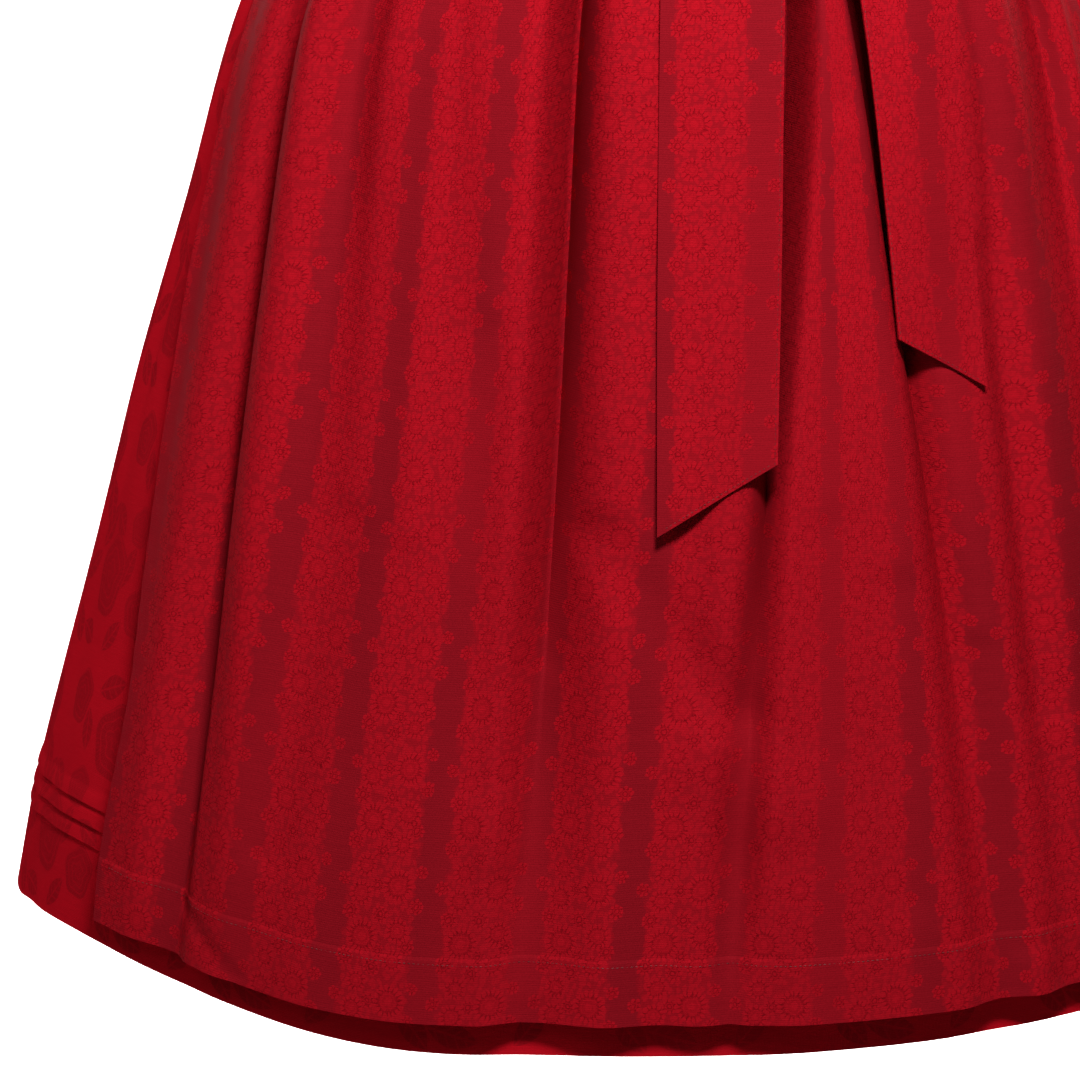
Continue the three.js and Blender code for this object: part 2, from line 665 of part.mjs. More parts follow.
const PLACKET_OUT = SEAM_GAP + PLACKET.cloth;
const PLACKET_LOW = BAND.top + 2;
const onPlacket = (height) => height > PLACKET_LOW && height <= PLACKET.top;
const PLACKET_ROWS = [PLACKET_LOW, ...SEAM_HEIGHTS.filter(onPlacket)].reverse();

function placket() {
  return clothWall({
    surface: (x, height) => bodicePlace(angleAcross(x, height), height, PLACKET_OUT),
    columns: [-PLACKET.halfWidth, 0, PLACKET.halfWidth],
    rows: PLACKET_ROWS,
    thickness: PLACKET.cloth,
  });
}

// A covered button: a dome with a flat back.
function buttonShape() {
  const rim = BUTTONS.radius;
  const profile = [
    [0, 0],
    [rim * 0.8, 0],
    [rim, 1.1],
    [rim * 0.9, 2.6],
    [rim * 0.5, 3.9],
    [0, BUTTONS.dome],
  ];
  return new THREE.LatheGeometry(profile.map(([x, y]) => new THREE.Vector2(x, y)), 10);
}

// ---- the whole garment ---------------------------------------------------------------

const dress = new THREE.Group();
dress.position.z = -SHOULDER_ABOVE_WAIST;

const cloth = (color, roughness) => new THREE.MeshStandardMaterial({ color, roughness, metalness: 0 });
const FINISH = {
  skirt: cloth(RED.skirt, 0.62),
  bodice: cloth(RED.skirt, 0.62),
  apron: cloth(RED.apron, 0.55),
  button: cloth(RED.button, 0.6),
};

function addPiece(name, geometry, material) {
  const piece = new THREE.Mesh(geometry, material.clone());
  piece.name = name;
  dress.add(piece);
  return piece;
}

function addBodice() {
  const front = bodiceRows(FRONT_STRAP, FRONT_STRAP_SHARE, FRONT_SEAM, NECK_BASE);
  const back = bodiceRows(BACK_STRAP, BACK_STRAP.share, BACK_SEAM, Infinity);
  for (const [word, side] of [["left", -1], ["right", 1]]) {
    addPiece(`bodice_front_${word}`, bodicePanel(front, FRONT_STRAP, side, -1), FINISH.bodice);
    addPiece(`bodice_side_${word}`, bodiceSide(side), FINISH.bodice);
    addPiece(`bodice_back_${word}`, bodicePanel(back, BACK_STRAP, side, 1), FINISH.bodice);
  }
  addPiece("bodice_placket", placket(), FINISH.bodice);
}

function addButtons() {
  for (let i = 0; i < BUTTONS.count; i += 1) {
    const height = BUTTONS.lowest + i * BUTTONS.spacing;
    const above = PLACKET_ROWS.findLast((row) => row > height);
    const below = PLACKET_ROWS.find((row) => row <= height);
    const [upper, lower] = [bodicePlace(0, above, PLACKET_OUT), bodicePlace(0, below, PLACKET_OUT)];
    const outward = upper.clone().sub(lower).cross(point(-1, 0, 0)).normalize();
    const seat = lower.lerp(upper, (height - below) / (above - below));
    const button = addPiece(`button_${i + 1}`, buttonShape(), FINISH.button);
    button.position.copy(seat.addScaledVector(outward, SEAM_GAP));
    button.quaternion.setFromUnitVectors(point(0, 1, 0), outward);
  }
}

function addSkirt() {
  const names = ["front", "right", "back", "left"];
  names.forEach((name, i) => {
    const from = SKIRT_SEAMS[i];
    addPiece(`skirt_${name}`, skirtPanel(from, from + 90), FINISH.skirt);
  });
}

function addApron() {
  addPiece("apron_panel", apronPanel(), FINISH.apron);
  addPiece("apron_band", apronBand(), FINISH.apron);
  addPiece("tie_wrap_left", tieWrap(-190, BOW.angle - 0.1, 1), FINISH.apron);
  addPiece("tie_wrap_right", tieWrap(BOW.angle + 0.1, 190, 0), FINISH.apron);
}

function addBow() {
  const knot = addPiece("bow_knot", bowKnot(), FINISH.apron);
  knot.position.copy(waistPlace(BOW.angle, BOW.height, KNOT_OUT));
  knot.rotation.z = Math.atan2(knotSide().y, knotSide().x);
  addPiece("bow_loop_left", bowLoop(-1), FINISH.apron);
  addPiece("bow_loop_right", bowLoop(1), FINISH.apron);
  addPiece("bow_tail_left", bowTail(LONG_TAIL, LONG_TAIL_SLANT), FINISH.apron);
  addPiece("bow_tail_right", bowTail(SHORT_TAIL, SHORT_TAIL_SLANT), FINISH.apron);
}

addBodice();
addButtons();
addSkirt();
addApron();
addBow();

export default dress;
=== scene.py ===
"""A dirndl: its skirt, apron, bow and bodice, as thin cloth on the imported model's own form.

Sizes in the tables and functions are millimetres, measured from the waist seam, with +Z up
and the front towards -Y. Angles are degrees round the body from the centre front, and a
share is a place down the skirt, from 0 at the waist to 1 at the hem.
"""
import math

import bpy
import numpy as np
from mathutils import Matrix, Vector


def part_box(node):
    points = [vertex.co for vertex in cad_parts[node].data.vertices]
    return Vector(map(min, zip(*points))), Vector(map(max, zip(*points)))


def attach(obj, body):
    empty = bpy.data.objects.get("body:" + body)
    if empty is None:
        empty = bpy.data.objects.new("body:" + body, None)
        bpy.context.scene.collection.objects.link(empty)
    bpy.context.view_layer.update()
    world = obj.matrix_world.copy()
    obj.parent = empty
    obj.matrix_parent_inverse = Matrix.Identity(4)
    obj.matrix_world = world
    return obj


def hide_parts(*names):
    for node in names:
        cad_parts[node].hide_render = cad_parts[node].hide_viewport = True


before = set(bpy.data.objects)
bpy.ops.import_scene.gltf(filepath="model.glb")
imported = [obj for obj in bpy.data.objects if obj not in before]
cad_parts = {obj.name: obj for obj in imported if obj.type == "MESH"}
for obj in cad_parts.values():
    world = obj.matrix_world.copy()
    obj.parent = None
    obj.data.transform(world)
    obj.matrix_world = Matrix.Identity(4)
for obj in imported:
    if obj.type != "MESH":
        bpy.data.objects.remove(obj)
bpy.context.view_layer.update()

MM = 0.001

# ---- driving sizes ----

SKIRT_DROP = 676.0
SIDE_HEM_RISE = 18.0
# The angle, reach and rise of each place where the hem swings up or, if negative, down.
HEM_SWINGS = ((-61.0, 30.0, 11.0), (-24.0, 20.0, -6.0))
SEAM_GAP = 0.3
SEWN_GAP = 0.03
SHOULDER_ABOVE_WAIST = 392.0
WAIST_Z = -SHOULDER_ABOVE_WAIST * MM

CLOTH = {"skirt": 1.3, "apron": 1.0, "bodice": 1.6, "placket": 1.1, "tail": 1.3, "loop": 1.1}
# Gathers round the waist, and the shares of the drop between which they begin and end.
GATHERS = {"count": 30, "depth": 4.0, "begin": (0.004, 0.05), "end": (0.1, 0.26)}
APRON_GATHER_SHARE = 0.7
PINTUCKS = {"count": 3, "lowest": 49.0, "spacing": 11.0, "stand": 1.1, "reach": 9.0, "power": 0.6}
APRON_TOP_DROP = 18.0
APRON_HEM_SHARE = 0.97
APRON_HEM_DEPTH = 34.0
# How far the apron stands off the skirt's form at the waist, and how much more at the hem.
APRON_OFF = {"top": 2.1, "more": 14.5}
# The skirt takes the apron's folds: wider by these degrees, less of them from a share down,
# and a little deeper.
UNDER_APRON = {"wider": 1.6, "less_from": 0.5, "less": 0.75, "deeper": 0.9}
BAND = {"top": 16.0, "bottom": -18.0, "reach": 80.0, "out": 1.6, "cloth": 1.3}
TIE = {
    "top": 12.0, "bottom": -16.0, "thick": 1.5, "cloth": 0.6,
    "leaves_band": (2, 14), "crosses": (155, 166), "end": 190.0,
}
# How far a seam's stitches lie above the cloth's form, and below the turned hem's edge.
STITCHES = {"below_hem_edge": 2.0, "on_hem": 0.62, "on_tail": 0.27, "on_cut": 0.05}
TIE_CLOTH_HALF = 32.5
# The knot's place, its half sizes, how square it is and how far round its cloth runs. It is
# narrower by a share at its middle, and its folds stay within these shares of its half sizes.
KNOT = {
    "angle": 35.0, "height": -2.0, "half_width": 17.0, "half_height": 20.0, "half_depth": 12.0,
    "round": 0.62, "weave": 25, "narrow": (0.09, 0.35), "within": (0.97, 0.95, 0.96),
}
# The bow's loops: the gap to the knot by side, the length in degrees, the widths at the knot and
# at the end, the drop at the knot and how much more at the end, and how far they stand out.
LOOP = {
    "gap": {-1: 3.1, 1: 0.9}, "length": 52.0, "widths": (22, 58), "drop": 2, "more_drop": 44,
    "puff": 15, "stand": 7,
}
TURNED_TAIL = {"stand": 0.25, "edge": (3.2, 3.9)}
BUTTONS = {"count": 6, "radius": 6.2, "dome": 4.4, "gathers": 14, "gather_depth": 0.012}
PLACKET = {"half_width": 12.0, "top": 190.0, "out": 1.2}


def table(columns, *rows):
    """A short table as one array for each named column."""
    return {name: np.array([row[i] for row in rows], float) for i, name in enumerate(columns.split())}


SKIRT_FORM = table(
    "drop side front back",
    (0, 127, 92, 88),
    (22, 128.5, 93.5, 89.5),
    (40, 148, 111, 108),
    (62, 178, 135, 133),
    (100, 209, 156, 158),
    (154, 235, 175, 183),
    (267, 267, 200, 212),
    (382, 299, 226, 240),
    (499, 329, 250, 265),
    (618, 359, 275, 288),
    (676, 370, 283, 296),
)
BODICE_FORM = table(
    "height side front back square shift",
    (0, 127, 92, 88, 2.0, 0),
    (60, 133, 96, 88, 2.15, 1),
    (110, 142, 104, 92, 2.25, 2),
    (150, 150, 117, 98, 2.3, 4),
    (185, 156, 125, 104, 2.3, 6),
    (220, 158, 121, 108, 2.3, 8),
    (240, 158, 114, 109, 2.3, 9),
)

# Each fold is a trough down the cloth, or a ridge if its depths are negative: its angle and
# depth near the top, in the middle and near the hem, the reach of its left and right flank
# in degrees, and the share of its depth that lies in a narrow crease at its bottom.
FOLD_SHARES = np.array([0.2, 0.55, 0.95])
FOLDS_BEGIN = (0.03, 0.15)
CREASE_WIDTH = 0.75
CREASE_POWER = 2.2
CREASE_FADES = (0.5, 0.88)
APRON_FOLDS = (
    ("edge hollow", (-70, -62, -54), (2, 3, 1), 4, 5, 0.0),
    ("deep left fold", (-57.4, -50.4, -45.2), (46, 32, 7), 6.4, 2.8, 0.6),
    ("ridge beside the left fold", (-50.5, -44.5, -38), (-11, -11, -4), 5, 11, 0.0),
    ("second fold", (-44.4, -38.6, -36), (15, 6, 4), 5.4, 6.5, 0.1),
    ("gentle hollow", (-30, -21, -17), (3, 3, 2), 8, 6, 0.0),
    ("centre fold", (-13.5, -12.4, -12), (50, 38, 10), 4.0, 8, 0.65),
    ("soft hollow", (2, 2, 6.8), (4, 3, 4), 5, 4, 0.0),
    ("broad hollow below the tail", (3, 1, -0.5), (0, 3, 8), 6, 4.5, 0.0),
    ("fold under the long tail", (18.2, 10.6, 4.5), (58, 24, 6), 4.2, 2.5, 0.85),
    ("fold under the short tail", (26.8, 27.4, 28.2), (52, 17, 8), 4.2, 4.4, 0.85),
    ("low right fold", (44, 38, 35), (3, 7, 6), 4, 4.5, 0.2),
    ("right fold", (60, 51, 42), (30, 10, 7), 10, 6, 0.2),
    ("right edge hollow", (68, 60, 52), (2, 3, 2), 4, 5, 0.0),
)
SKIRT_FOLDS = (
    ("left side, front", (-79, -76, -74), (5, 5, 4), 6, 6, 0.1),
    ("left side, back", (-96, -97, -98), (8, 10, 10), 6.5, 8, 0.2),
    ("left back, outer", (-113, -115, -117), (14, 15, 14), 8, 6.5, 0.35),
    ("left back, middle", (-129, -131, -132), (10, 13, 13), 6, 7, 0.2),
    ("left back, inner", (-147, -148, -149), (16, 18, 15), 7.5, 6.5, 0.35),
    ("back, left", (-164, -166, -167), (8, 11, 12), 6.5, 7.5, 0.1),
    ("back, middle", (-180, -182, -183), (17, 18, 16), 7, 6.5, 0.35),
    ("back, right", (163, 162, 161), (8, 10, 12), 7, 6.5, 0.1),
    ("right back, inner", (146, 146, 145), (15, 16, 14), 6.5, 7.5, 0.3),
    ("right back, middle", (131, 129, 128), (9, 11, 12), 7, 6, 0.1),
    ("right back, outer", (114, 112, 111), (16, 17, 15), 6.5, 8, 0.35),
    ("right side, back", (97, 96, 95), (7, 9, 10), 7.5, 6.5, 0.1),
    ("right side, front", (80, 78, 76), (5, 6, 5), 6, 6, 0.1),
)
APRON_EDGE = table(
    "share angle",
    (0.0, 74),
    (0.2, 71.2),
    (0.38, 68.2),
    (0.54, 63.5),
    (0.67, 60),
    (0.8, 56.8),
    (0.9, 56),
    (0.97, 55),
)
# Creases that slant across the apron: two ends as angle and share, the depth in mm (a
# ridge is negative) and the reach to each side in mm. Their lengths are those at one drop.
CREASE_LEVEL = 430.0
APRON_CREASES = table(
    "angle_a share_a angle_b share_b depth reach",
    (-6.5, 0.60, 5.7, 0.735, 4.0, 20),
    (4.5, 0.77, 9.0, 0.80, -3.0, 34),
    (-30, 0.22, -26, 0.60, -1.6, 13),
    (-12.0, 0.72, -14.5, 0.84, -2.0, 16),
    (22, 0.30, 22, 0.62, -2.5, 20),
    (30.5, 0.70, 31.5, 0.93, 2.0, 12),
    (-20, 0.45, -16, 0.78, 1.8, 22),
    (16, 0.60, 20, 0.88, 1.8, 22),
    (-44, 0.93, -38, 0.965, 1.5, 9),
    (-33, 0.60, -36, 0.86, 2.0, 18),
    (38, 0.40, 37, 0.75, 2.2, 20),
)
# The apron's columns of points run along its creased folds and crowd together there.
PINCHED_FOLDS = [fold for fold in APRON_FOLDS if fold[-1] > 0]
COLUMN_MARK = 63.2
COLUMN_CROWD = 3.0
COLUMN_CROWD_REACH = 2.4
# On the front's flanks a trough goes nearly straight back: by what share, and the angles
# between which that begins and ends.
STRAIGHT_BACK = {"share": 0.85, "begin": (30, 48), "end": (70, 84)}
# A few slow waves make hanging cloth slightly uneven.
RIPPLE = {"waves": 5, "length": 62, "longer": 0.35, "turn": 1.3, "down": 0.45, "phase": 7}

LONG_TAIL = table(
    "drop across width off",
    (22.4, 63, 21, 8),
    (45, 52, 34, 4),
    (70, 40, 50, 1.5),
    (100, 30, 61, 1),
    (130, 28, 66, 1),
    (250, 26.5, 66, 1),
    (385, 25, 64, 1),
)
SHORT_TAIL = table(
    "drop across width off",
    (22.4, 87, 21, 8),
    (45, 97, 32, 4),
    (70, 109, 43, 1.5),
    (100, 120, 49, 1),
    (130, 127, 51, 1),
    (209, 135, 48, 1),
    (320, 146, 48, 1),
)
LONG_TAIL_SLANT = 36.0
SHORT_TAIL_SLANT = -28.0

FRONT_SEAM = table(
    "height across", (0, 60), (60, 70), (115, 84), (150, 93), (190, 108), (225, 119), (240, 122)
)
BACK_SEAM = table("height across", (0, 48), (60, 58), (115, 74), (165, 92), (225, 116), (240, 119))
FRONT_NECK = table("height across", (200, 0), (205, 38), (213, 62), (225, 76), (240, 82))
BODICE_BOTTOM = 0.15
BODICE_TOP = 225.0
ARMHOLE = {"dip": 20.0, "from": 165}
SIDE_WEAVE_PER_DEGREE = 2.4
SHOULDER = {"base": 240.0, "at_neck": 392.0, "neck_across": 70.0, "slope": 0.32, "middle": 9.0}
FRONT_STRAP = {
    "round": 1.7,
    "edges": table(
        "share inner outer",
        (0, 82, 122), (0.3, 79, 124), (0.56, 76, 126), (0.78, 73, 127), (0.93, 72, 128), (1, 71, 128),
    ),
}
BACK_STRAP = {
    "round": 2.3,
    "edges": table(
        "share inner outer",
        (0, 0, 119), (0.2, 0, 121), (0.31, 0, 122), (0.36, 36, 122), (0.45, 56, 124), (0.62, 66, 126),
        (0.82, 70, 128), (1, 71, 128),
    ),
}

BUTTON_PROFILE = table(
    "radius out",
    (0.02, 0.0), (0.78, 0.0), (0.9, 0.25), (0.99, 0.9), (0.995, 1.3), (0.95, 2.1), (0.84, 2.9),
    (0.66, 3.55), (0.42, 4.05), (0.2, 4.3), (0.02, 4.38),
)

# ---- curves through tables ----


def smooth_line(xs, ys, at):
    """A smooth curve through the points (xs, ys) that doesn't overshoot them."""
    xs, ys = np.asarray(xs, float), np.asarray(ys, float)
    at = np.clip(np.asarray(at, float), xs[0], xs[-1])
    step = np.diff(xs)
    rise = np.diff(ys) / step
    slope = np.concatenate([rise[:1], np.zeros(len(xs) - 2), rise[-1:]])
    same_way = rise[:-1] * rise[1:] > 0
    both = np.where(same_way, rise[:-1] + rise[1:], 1)
    slope[1:-1] = np.where(same_way, 2 * rise[:-1] * rise[1:] / both, 0)
    row = np.clip(np.searchsorted(xs, at, side="right") - 1, 0, len(xs) - 2)
    k = (at - xs[row]) / step[row]
    return (
        (2 * k**3 - 3 * k**2 + 1) * ys[row]
        + (k**3 - 2 * k**2 + k) * step[row] * slope[row]
        + (3 * k**2 - 2 * k**3) * ys[row + 1]
        + (k**3 - k**2) * step[row] * slope[row + 1]
    )


def read(rows, place, at, column):
    return smooth_line(rows[place], rows[column], at)


def section(form, at):
    """A form's other sizes where its first one, the place along it, has a value."""
    place, *names = form
    return [read(form, place, at, name) for name in names]


def ease(value, low, high):
    k = np.clip((np.asarray(value, float) - low) / (high - low), 0, 1)
    return k * k * (3 - 2 * k)


def mix(a, b, k):
    return a + (b - a) * k


def signed_power(value, power):
    return np.sign(value) * np.abs(value) ** power


# ---- the form of the skirt and of the apron ----


def bell(away, reach):
    """A smooth hump: 1 where away is 0, and 0 from reach on."""
    return np.where(np.abs(away) < reach, (1 + np.cos(np.pi * away / reach)) / 2, 0)


def turned_from(angle, middle):
    """How far an angle lies from another one, from -180 to 180."""
    return (angle - middle + 180) % 360 - 180


def hem_rise(angle):
    """How much higher the hem hangs than at the centre front."""
    rise = SIDE_HEM_RISE * np.sin(np.radians(angle)) ** 2
    for middle, reach, lift in HEM_SWINGS:
        rise = rise + lift * bell(turned_from(angle, middle), reach)
    return rise


def skirt_place(angle, share, out):
    """Places on the skirt's form, moved out level with the ground."""
    turn = np.radians(angle)
    sine, cosine = np.sin(turn), np.cos(turn)
    side, front, back = section(SKIRT_FORM, share * SKIRT_DROP)
    depth = np.where(cosine > 0, front, back)
    away_x, away_y = sine / side, -cosine / depth
    size = np.hypot(away_x, away_y)
    turned = np.abs(turned_from(angle, 0))
    straight = ease(turned, *STRAIGHT_BACK["begin"]) * (1 - ease(turned, *STRAIGHT_BACK["end"]))
    inward = STRAIGHT_BACK["share"] * straight * np.minimum(out, 0)
    x = side * sine + (out - inward) * away_x / size
    y = -depth * cosine + out * away_y / size
    drop = share * (SKIRT_DROP - hem_rise(angle))
    return np.stack(np.broadcast_arrays(x, y, -drop), -1)


def pinch(away, reach):
    """Two rounded ridges that meet in a sharp valley: 1 where away is 0, and 0 from reach on."""
    return np.clip(1 - np.abs(away) / reach, 0, 1) ** CREASE_POWER


def troughs(folds, angle, share, wider=0.0):
    """How deep the troughs of a table are at each place.

    Where they are made wider, for the cloth that lies under them, the ridges are left out.
    """
    total = np.zeros(np.broadcast(angle, share).shape)
    for _, angles, depths, left, right, crease in folds:
        depth = smooth_line(FOLD_SHARES, depths, share)
        depth = depth if wider == 0 else np.maximum(0, depth)
        away = turned_from(angle, smooth_line(FOLD_SHARES, angles, share))
        reach = np.where(away < 0, left, right)
        narrow = pinch(away, reach * CREASE_WIDTH + wider)
        pinched = crease * (1 - ease(share, *CREASE_FADES))
        total += depth * ((1 - pinched) * bell(away, reach + wider) + pinched * narrow)
    return total


def folds_begin(share):
    return ease(share, *FOLDS_BEGIN)


def gathers(angle, share):
    strength = GATHERS["depth"] * ease(share, *GATHERS["begin"]) * (1 - ease(share, *GATHERS["end"]))
    return strength * (1 - np.cos(np.radians(angle * GATHERS["count"]))) / 2


def apron_stands_off(share):
    return APRON_OFF["top"] + APRON_OFF["more"] * share


def creases(rows, angle, share):
    """The depth of short slanting creases, measured as lengths on the cloth."""
    total = np.zeros(np.broadcast(angle, share).shape)
    per_degree = math.radians(read(SKIRT_FORM, "drop", CREASE_LEVEL, "front").item())
    for a, sa, b, sb, depth, reach in zip(*rows.values()):
        across, down = (angle - a) * per_degree, (share - sa) * SKIRT_DROP
        run_x, run_y = (b - a) * per_degree, (sb - sa) * SKIRT_DROP
        k = np.clip((across * run_x + down * run_y) / (run_x**2 + run_y**2), 0, 1)
        total += depth * bell(np.hypot(across - k * run_x, down - k * run_y), reach)
    return total


def ripple(angle, share, stretch, seed, size):
    """Slight unevenness of hanging cloth. stretch is the cloth's length for each degree."""
    waves = np.random.default_rng(seed).uniform(0.6, 1.4, (RIPPLE["waves"], 4))
    total = 0
    for i, (long, wide, turn, lift) in enumerate(waves):
        slant = i * RIPPLE["turn"] + turn
        length = RIPPLE["length"] * long * (1 + RIPPLE["longer"] * i)
        down = share * SKIRT_DROP * math.sin(slant) * RIPPLE["down"]
        along = angle * stretch * math.cos(slant) * wide + down
        total = total + lift * np.sin(2 * np.pi * along / length + RIPPLE["phase"] * turn)
    return size * total / len(waves)


def skirt_surface(angle, share):
    follows = 1 - UNDER_APRON["less"] * ease(share, UNDER_APRON["less_from"], 1)
    under = follows * troughs(APRON_FOLDS, angle, share, UNDER_APRON["wider"])
    own = troughs(SKIRT_FOLDS, angle, share) + UNDER_APRON["deeper"]
    soft = ripple(angle, share, 4.0, 5, 1.1)
    return skirt_place(angle, share, folds_begin(share) * (soft - under - own) - gathers(angle, share))


def apron_angle(across, share):
    """The angle of a place across the apron, -1 to 1. Its columns run along the pinched folds."""
    edge = read(APRON_EDGE, "share", share, "angle")
    middles = [smooth_line(FOLD_SHARES, fold[1], share) for fold in PINCHED_FOLDS]
    marks = [-1.0] + [fold[1][1] / COLUMN_MARK for fold in PINCHED_FOLDS] + [1.0]
    places = [-edge] + middles + [edge]
    angle = places[0]
    for i in range(len(marks) - 1):
        along = np.clip((across - marks[i]) / (marks[i + 1] - marks[i]), 0, 1)
        angle = angle + along * (places[i + 1] - places[i])
    return angle


def apron_columns(count):
    """Places across the apron, closer together at the pinched folds."""
    fine = np.linspace(-1, 1, 4001)
    crowd = np.ones_like(fine)
    for fold in PINCHED_FOLDS:
        away = (fine - fold[1][1] / COLUMN_MARK) * COLUMN_MARK
        crowd += COLUMN_CROWD * fold[-1] * np.exp(-((away / COLUMN_CROWD_REACH) ** 2))
    running = np.concatenate([[0], np.cumsum((crowd[1:] + crowd[:-1]) / 2)])
    return np.interp(np.linspace(0, running[-1], count), running, fine)


def apron_surface(across, share):
    angle = apron_angle(across, share)
    deep = troughs(APRON_FOLDS, angle, share) + creases(APRON_CREASES, angle, share)
    moved = folds_begin(share) * (ripple(angle, share, 3.9, 11, 0.8) - deep)
    moved = moved - APRON_GATHER_SHARE * gathers(angle, share)
    return skirt_place(angle, share, apron_stands_off(share) + moved)


# ---- meshes ----

SHARP_FROM = 52


def link(name, data):
    """A new object in the scene that shows some data."""
    thing = bpy.data.objects.new(name, data)
    bpy.context.scene.collection.objects.link(thing)
    return thing


def finish_piece(name, points, quads, weave, material):
    """A mesh object in the row's frame. weave is each point's place on the flat cloth in mm."""
    mesh = bpy.data.meshes.new(name)
    mesh.vertices.add(len(points))
    placed = points * MM + np.array([0, 0, WAIST_Z])
    mesh.vertices.foreach_set("co", placed.astype(np.float32).ravel())
    mesh.loops.add(quads.size)
    mesh.loops.foreach_set("vertex_index", quads.astype(np.int32).ravel())
    mesh.polygons.add(len(quads))
    mesh.polygons.foreach_set("loop_start", np.arange(0, quads.size, quads.shape[1], dtype=np.int32))
    mesh.polygons.foreach_set("use_smooth", np.ones(len(quads), bool))
    mesh.update(calc_edges=True)
    mesh.validate()
    cloth_place = mesh.attributes.new("weave", "FLOAT_VECTOR", "POINT")
    flat = np.concatenate([weave, np.zeros((len(weave), 1))], 1)
    cloth_place.data.foreach_set("vector", flat.astype(np.float32).ravel())
    mesh.set_sharp_from_angle(angle=math.radians(SHARP_FROM))
    mesh.materials.append(material)
    return link(name, mesh)


def outward_of(grid):
    """The outward direction at each point of a grid whose columns run right and rows down."""
    along = np.gradient(grid, axis=1)
    down = np.gradient(grid, axis=0)
    away = np.cross(down, along)
    return away / np.maximum(np.linalg.norm(away, axis=-1, keepdims=True), 1e-9)


def cloth_piece(node, grid, thickness, weave, material, raised=None):
    """A thin closed shell, and its grid: the outer face, with the inner face under it."""
    rows, columns = grid.shape[:2]
    away = outward_of(grid)
    inner = grid - away * thickness
    outer = grid if raised is None else grid + away * raised[..., None]
    number = np.arange(rows * columns).reshape(rows, columns)
    under = number + rows * columns

    def sheet_quads(n):
        return np.stack([n[:-1, :-1], n[1:, :-1], n[1:, 1:], n[:-1, 1:]], -1).reshape(-1, 4)

    def edge_quads(top, low):
        return np.stack([top[:-1], top[1:], low[1:], low[:-1]], -1)

    quads = np.concatenate([
        sheet_quads(number),
        sheet_quads(under)[:, ::-1],
        edge_quads(number[0], under[0]),
        edge_quads(number[-1], under[-1])[:, ::-1],
        edge_quads(number[:, 0], under[:, 0])[:, ::-1],
        edge_quads(number[:, -1], under[:, -1]),
    ])
    points = np.concatenate([outer.reshape(-1, 3), inner.reshape(-1, 3)])
    flat = np.concatenate([weave.reshape(-1, 2)] * 2)
    return finish_piece(node + "_cloth", points, quads, flat, material), grid


def ring_quads(rows, columns):
    """The quads of a grid whose last column joins its first."""
    number = np.arange(rows * columns).reshape(rows, columns)
    beside = np.roll(number, -1, axis=1)
    return np.stack([number[:-1], beside[:-1], beside[1:], number[1:]], -1).reshape(-1, 4)


def weld(piece, distance):
    """Joins the points that meet at a round piece's ends."""
    piece.modifiers.new("weld", "WELD").merge_threshold = distance * MM
    return piece


# Each stitch's size, how deep it sinks, and half the step that gives the seam's direction.
STITCH = {"spacing": 2.6, "length": 1.9, "width": 0.5, "height": 0.22, "sunk": 0.1, "step": 0.4}


def steps_along(path, spacing):
    """Points at even spacing along a path, and the path's direction at each."""
    lengths = np.concatenate([[0], np.cumsum(np.linalg.norm(np.diff(path, axis=0), axis=1))])
    count = max(2, int(lengths[-1] / spacing))
    at = (np.arange(count) + 0.5) * lengths[-1] / count

    def pick(values, places):
        return np.stack([np.interp(places, lengths, values[:, i]) for i in range(3)], -1)

    ahead = pick(path, at + STITCH["step"]) - pick(path, at - STITCH["step"])
    return pick(path, at), ahead / np.linalg.norm(ahead, axis=1, keepdims=True)


def stitches(name, path, away, material):
    """A row of sewn stitches on a path, each a small spindle of thread that lies on the cloth."""
    middle, ahead = steps_along(path, STITCH["spacing"])
    picked = np.linspace(0, len(path) - 1, len(middle))
    up = np.stack([np.interp(picked, np.arange(len(path)), away[:, i]) for i in range(3)], -1)
    up /= np.linalg.norm(up, axis=1, keepdims=True)
    side = np.cross(up, ahead) * STITCH["width"] / 2
    half = ahead * STITCH["length"] / 2
    low, high = middle - up * STITCH["sunk"], middle + up * STITCH["height"]
    corners = [middle - half, middle + half, middle + side, middle - side, high, low]
    points = np.stack(corners, 1).reshape(-1, 3)
    faces = [(2, 4, 0), (4, 3, 0), (3, 5, 0), (5, 2, 0), (4, 2, 1), (3, 4, 1), (5, 3, 1), (2, 5, 1)]
    starts = len(corners) * np.arange(len(middle))[:, None, None]
    triangles = (np.array(faces)[None] + starts).reshape(-1, 3)
    return finish_piece(name, points, triangles, points[:, :2], material)


def surface_lengths(grid, axis):
    """Running length over a grid along one axis, starting from 0."""
    parts = np.linalg.norm(np.diff(grid, axis=axis), axis=-1)
    start = np.zeros_like(np.take(parts, [0], axis=axis))
    return np.concatenate([start, np.cumsum(parts, axis=axis)], axis=axis)


def lattice(down, across):
    """Two arrays over a grid: one changes from row to row, the other from column to column."""
    return np.broadcast_arrays(down[:, None], across[None, :])


def dense_rows(*spans):
    """Rows from several spans, each (from, to, count), in order and without repeats."""
    return np.unique(np.concatenate([np.linspace(*span) for span in spans]).round(7))


# ---- the skirt and the apron ----

SKIRT_SEAMS = {"skirt_front": -45.0, "skirt_right": 45.0, "skirt_back": 135.0, "skirt_left": 225.0}
SKIRT_PANEL_COLUMNS = 150
SKIRT_WEAVE_PER_DEGREE = 6.3
APRON_COLUMNS = 244
HEM_ARC_SHARE = 0.75
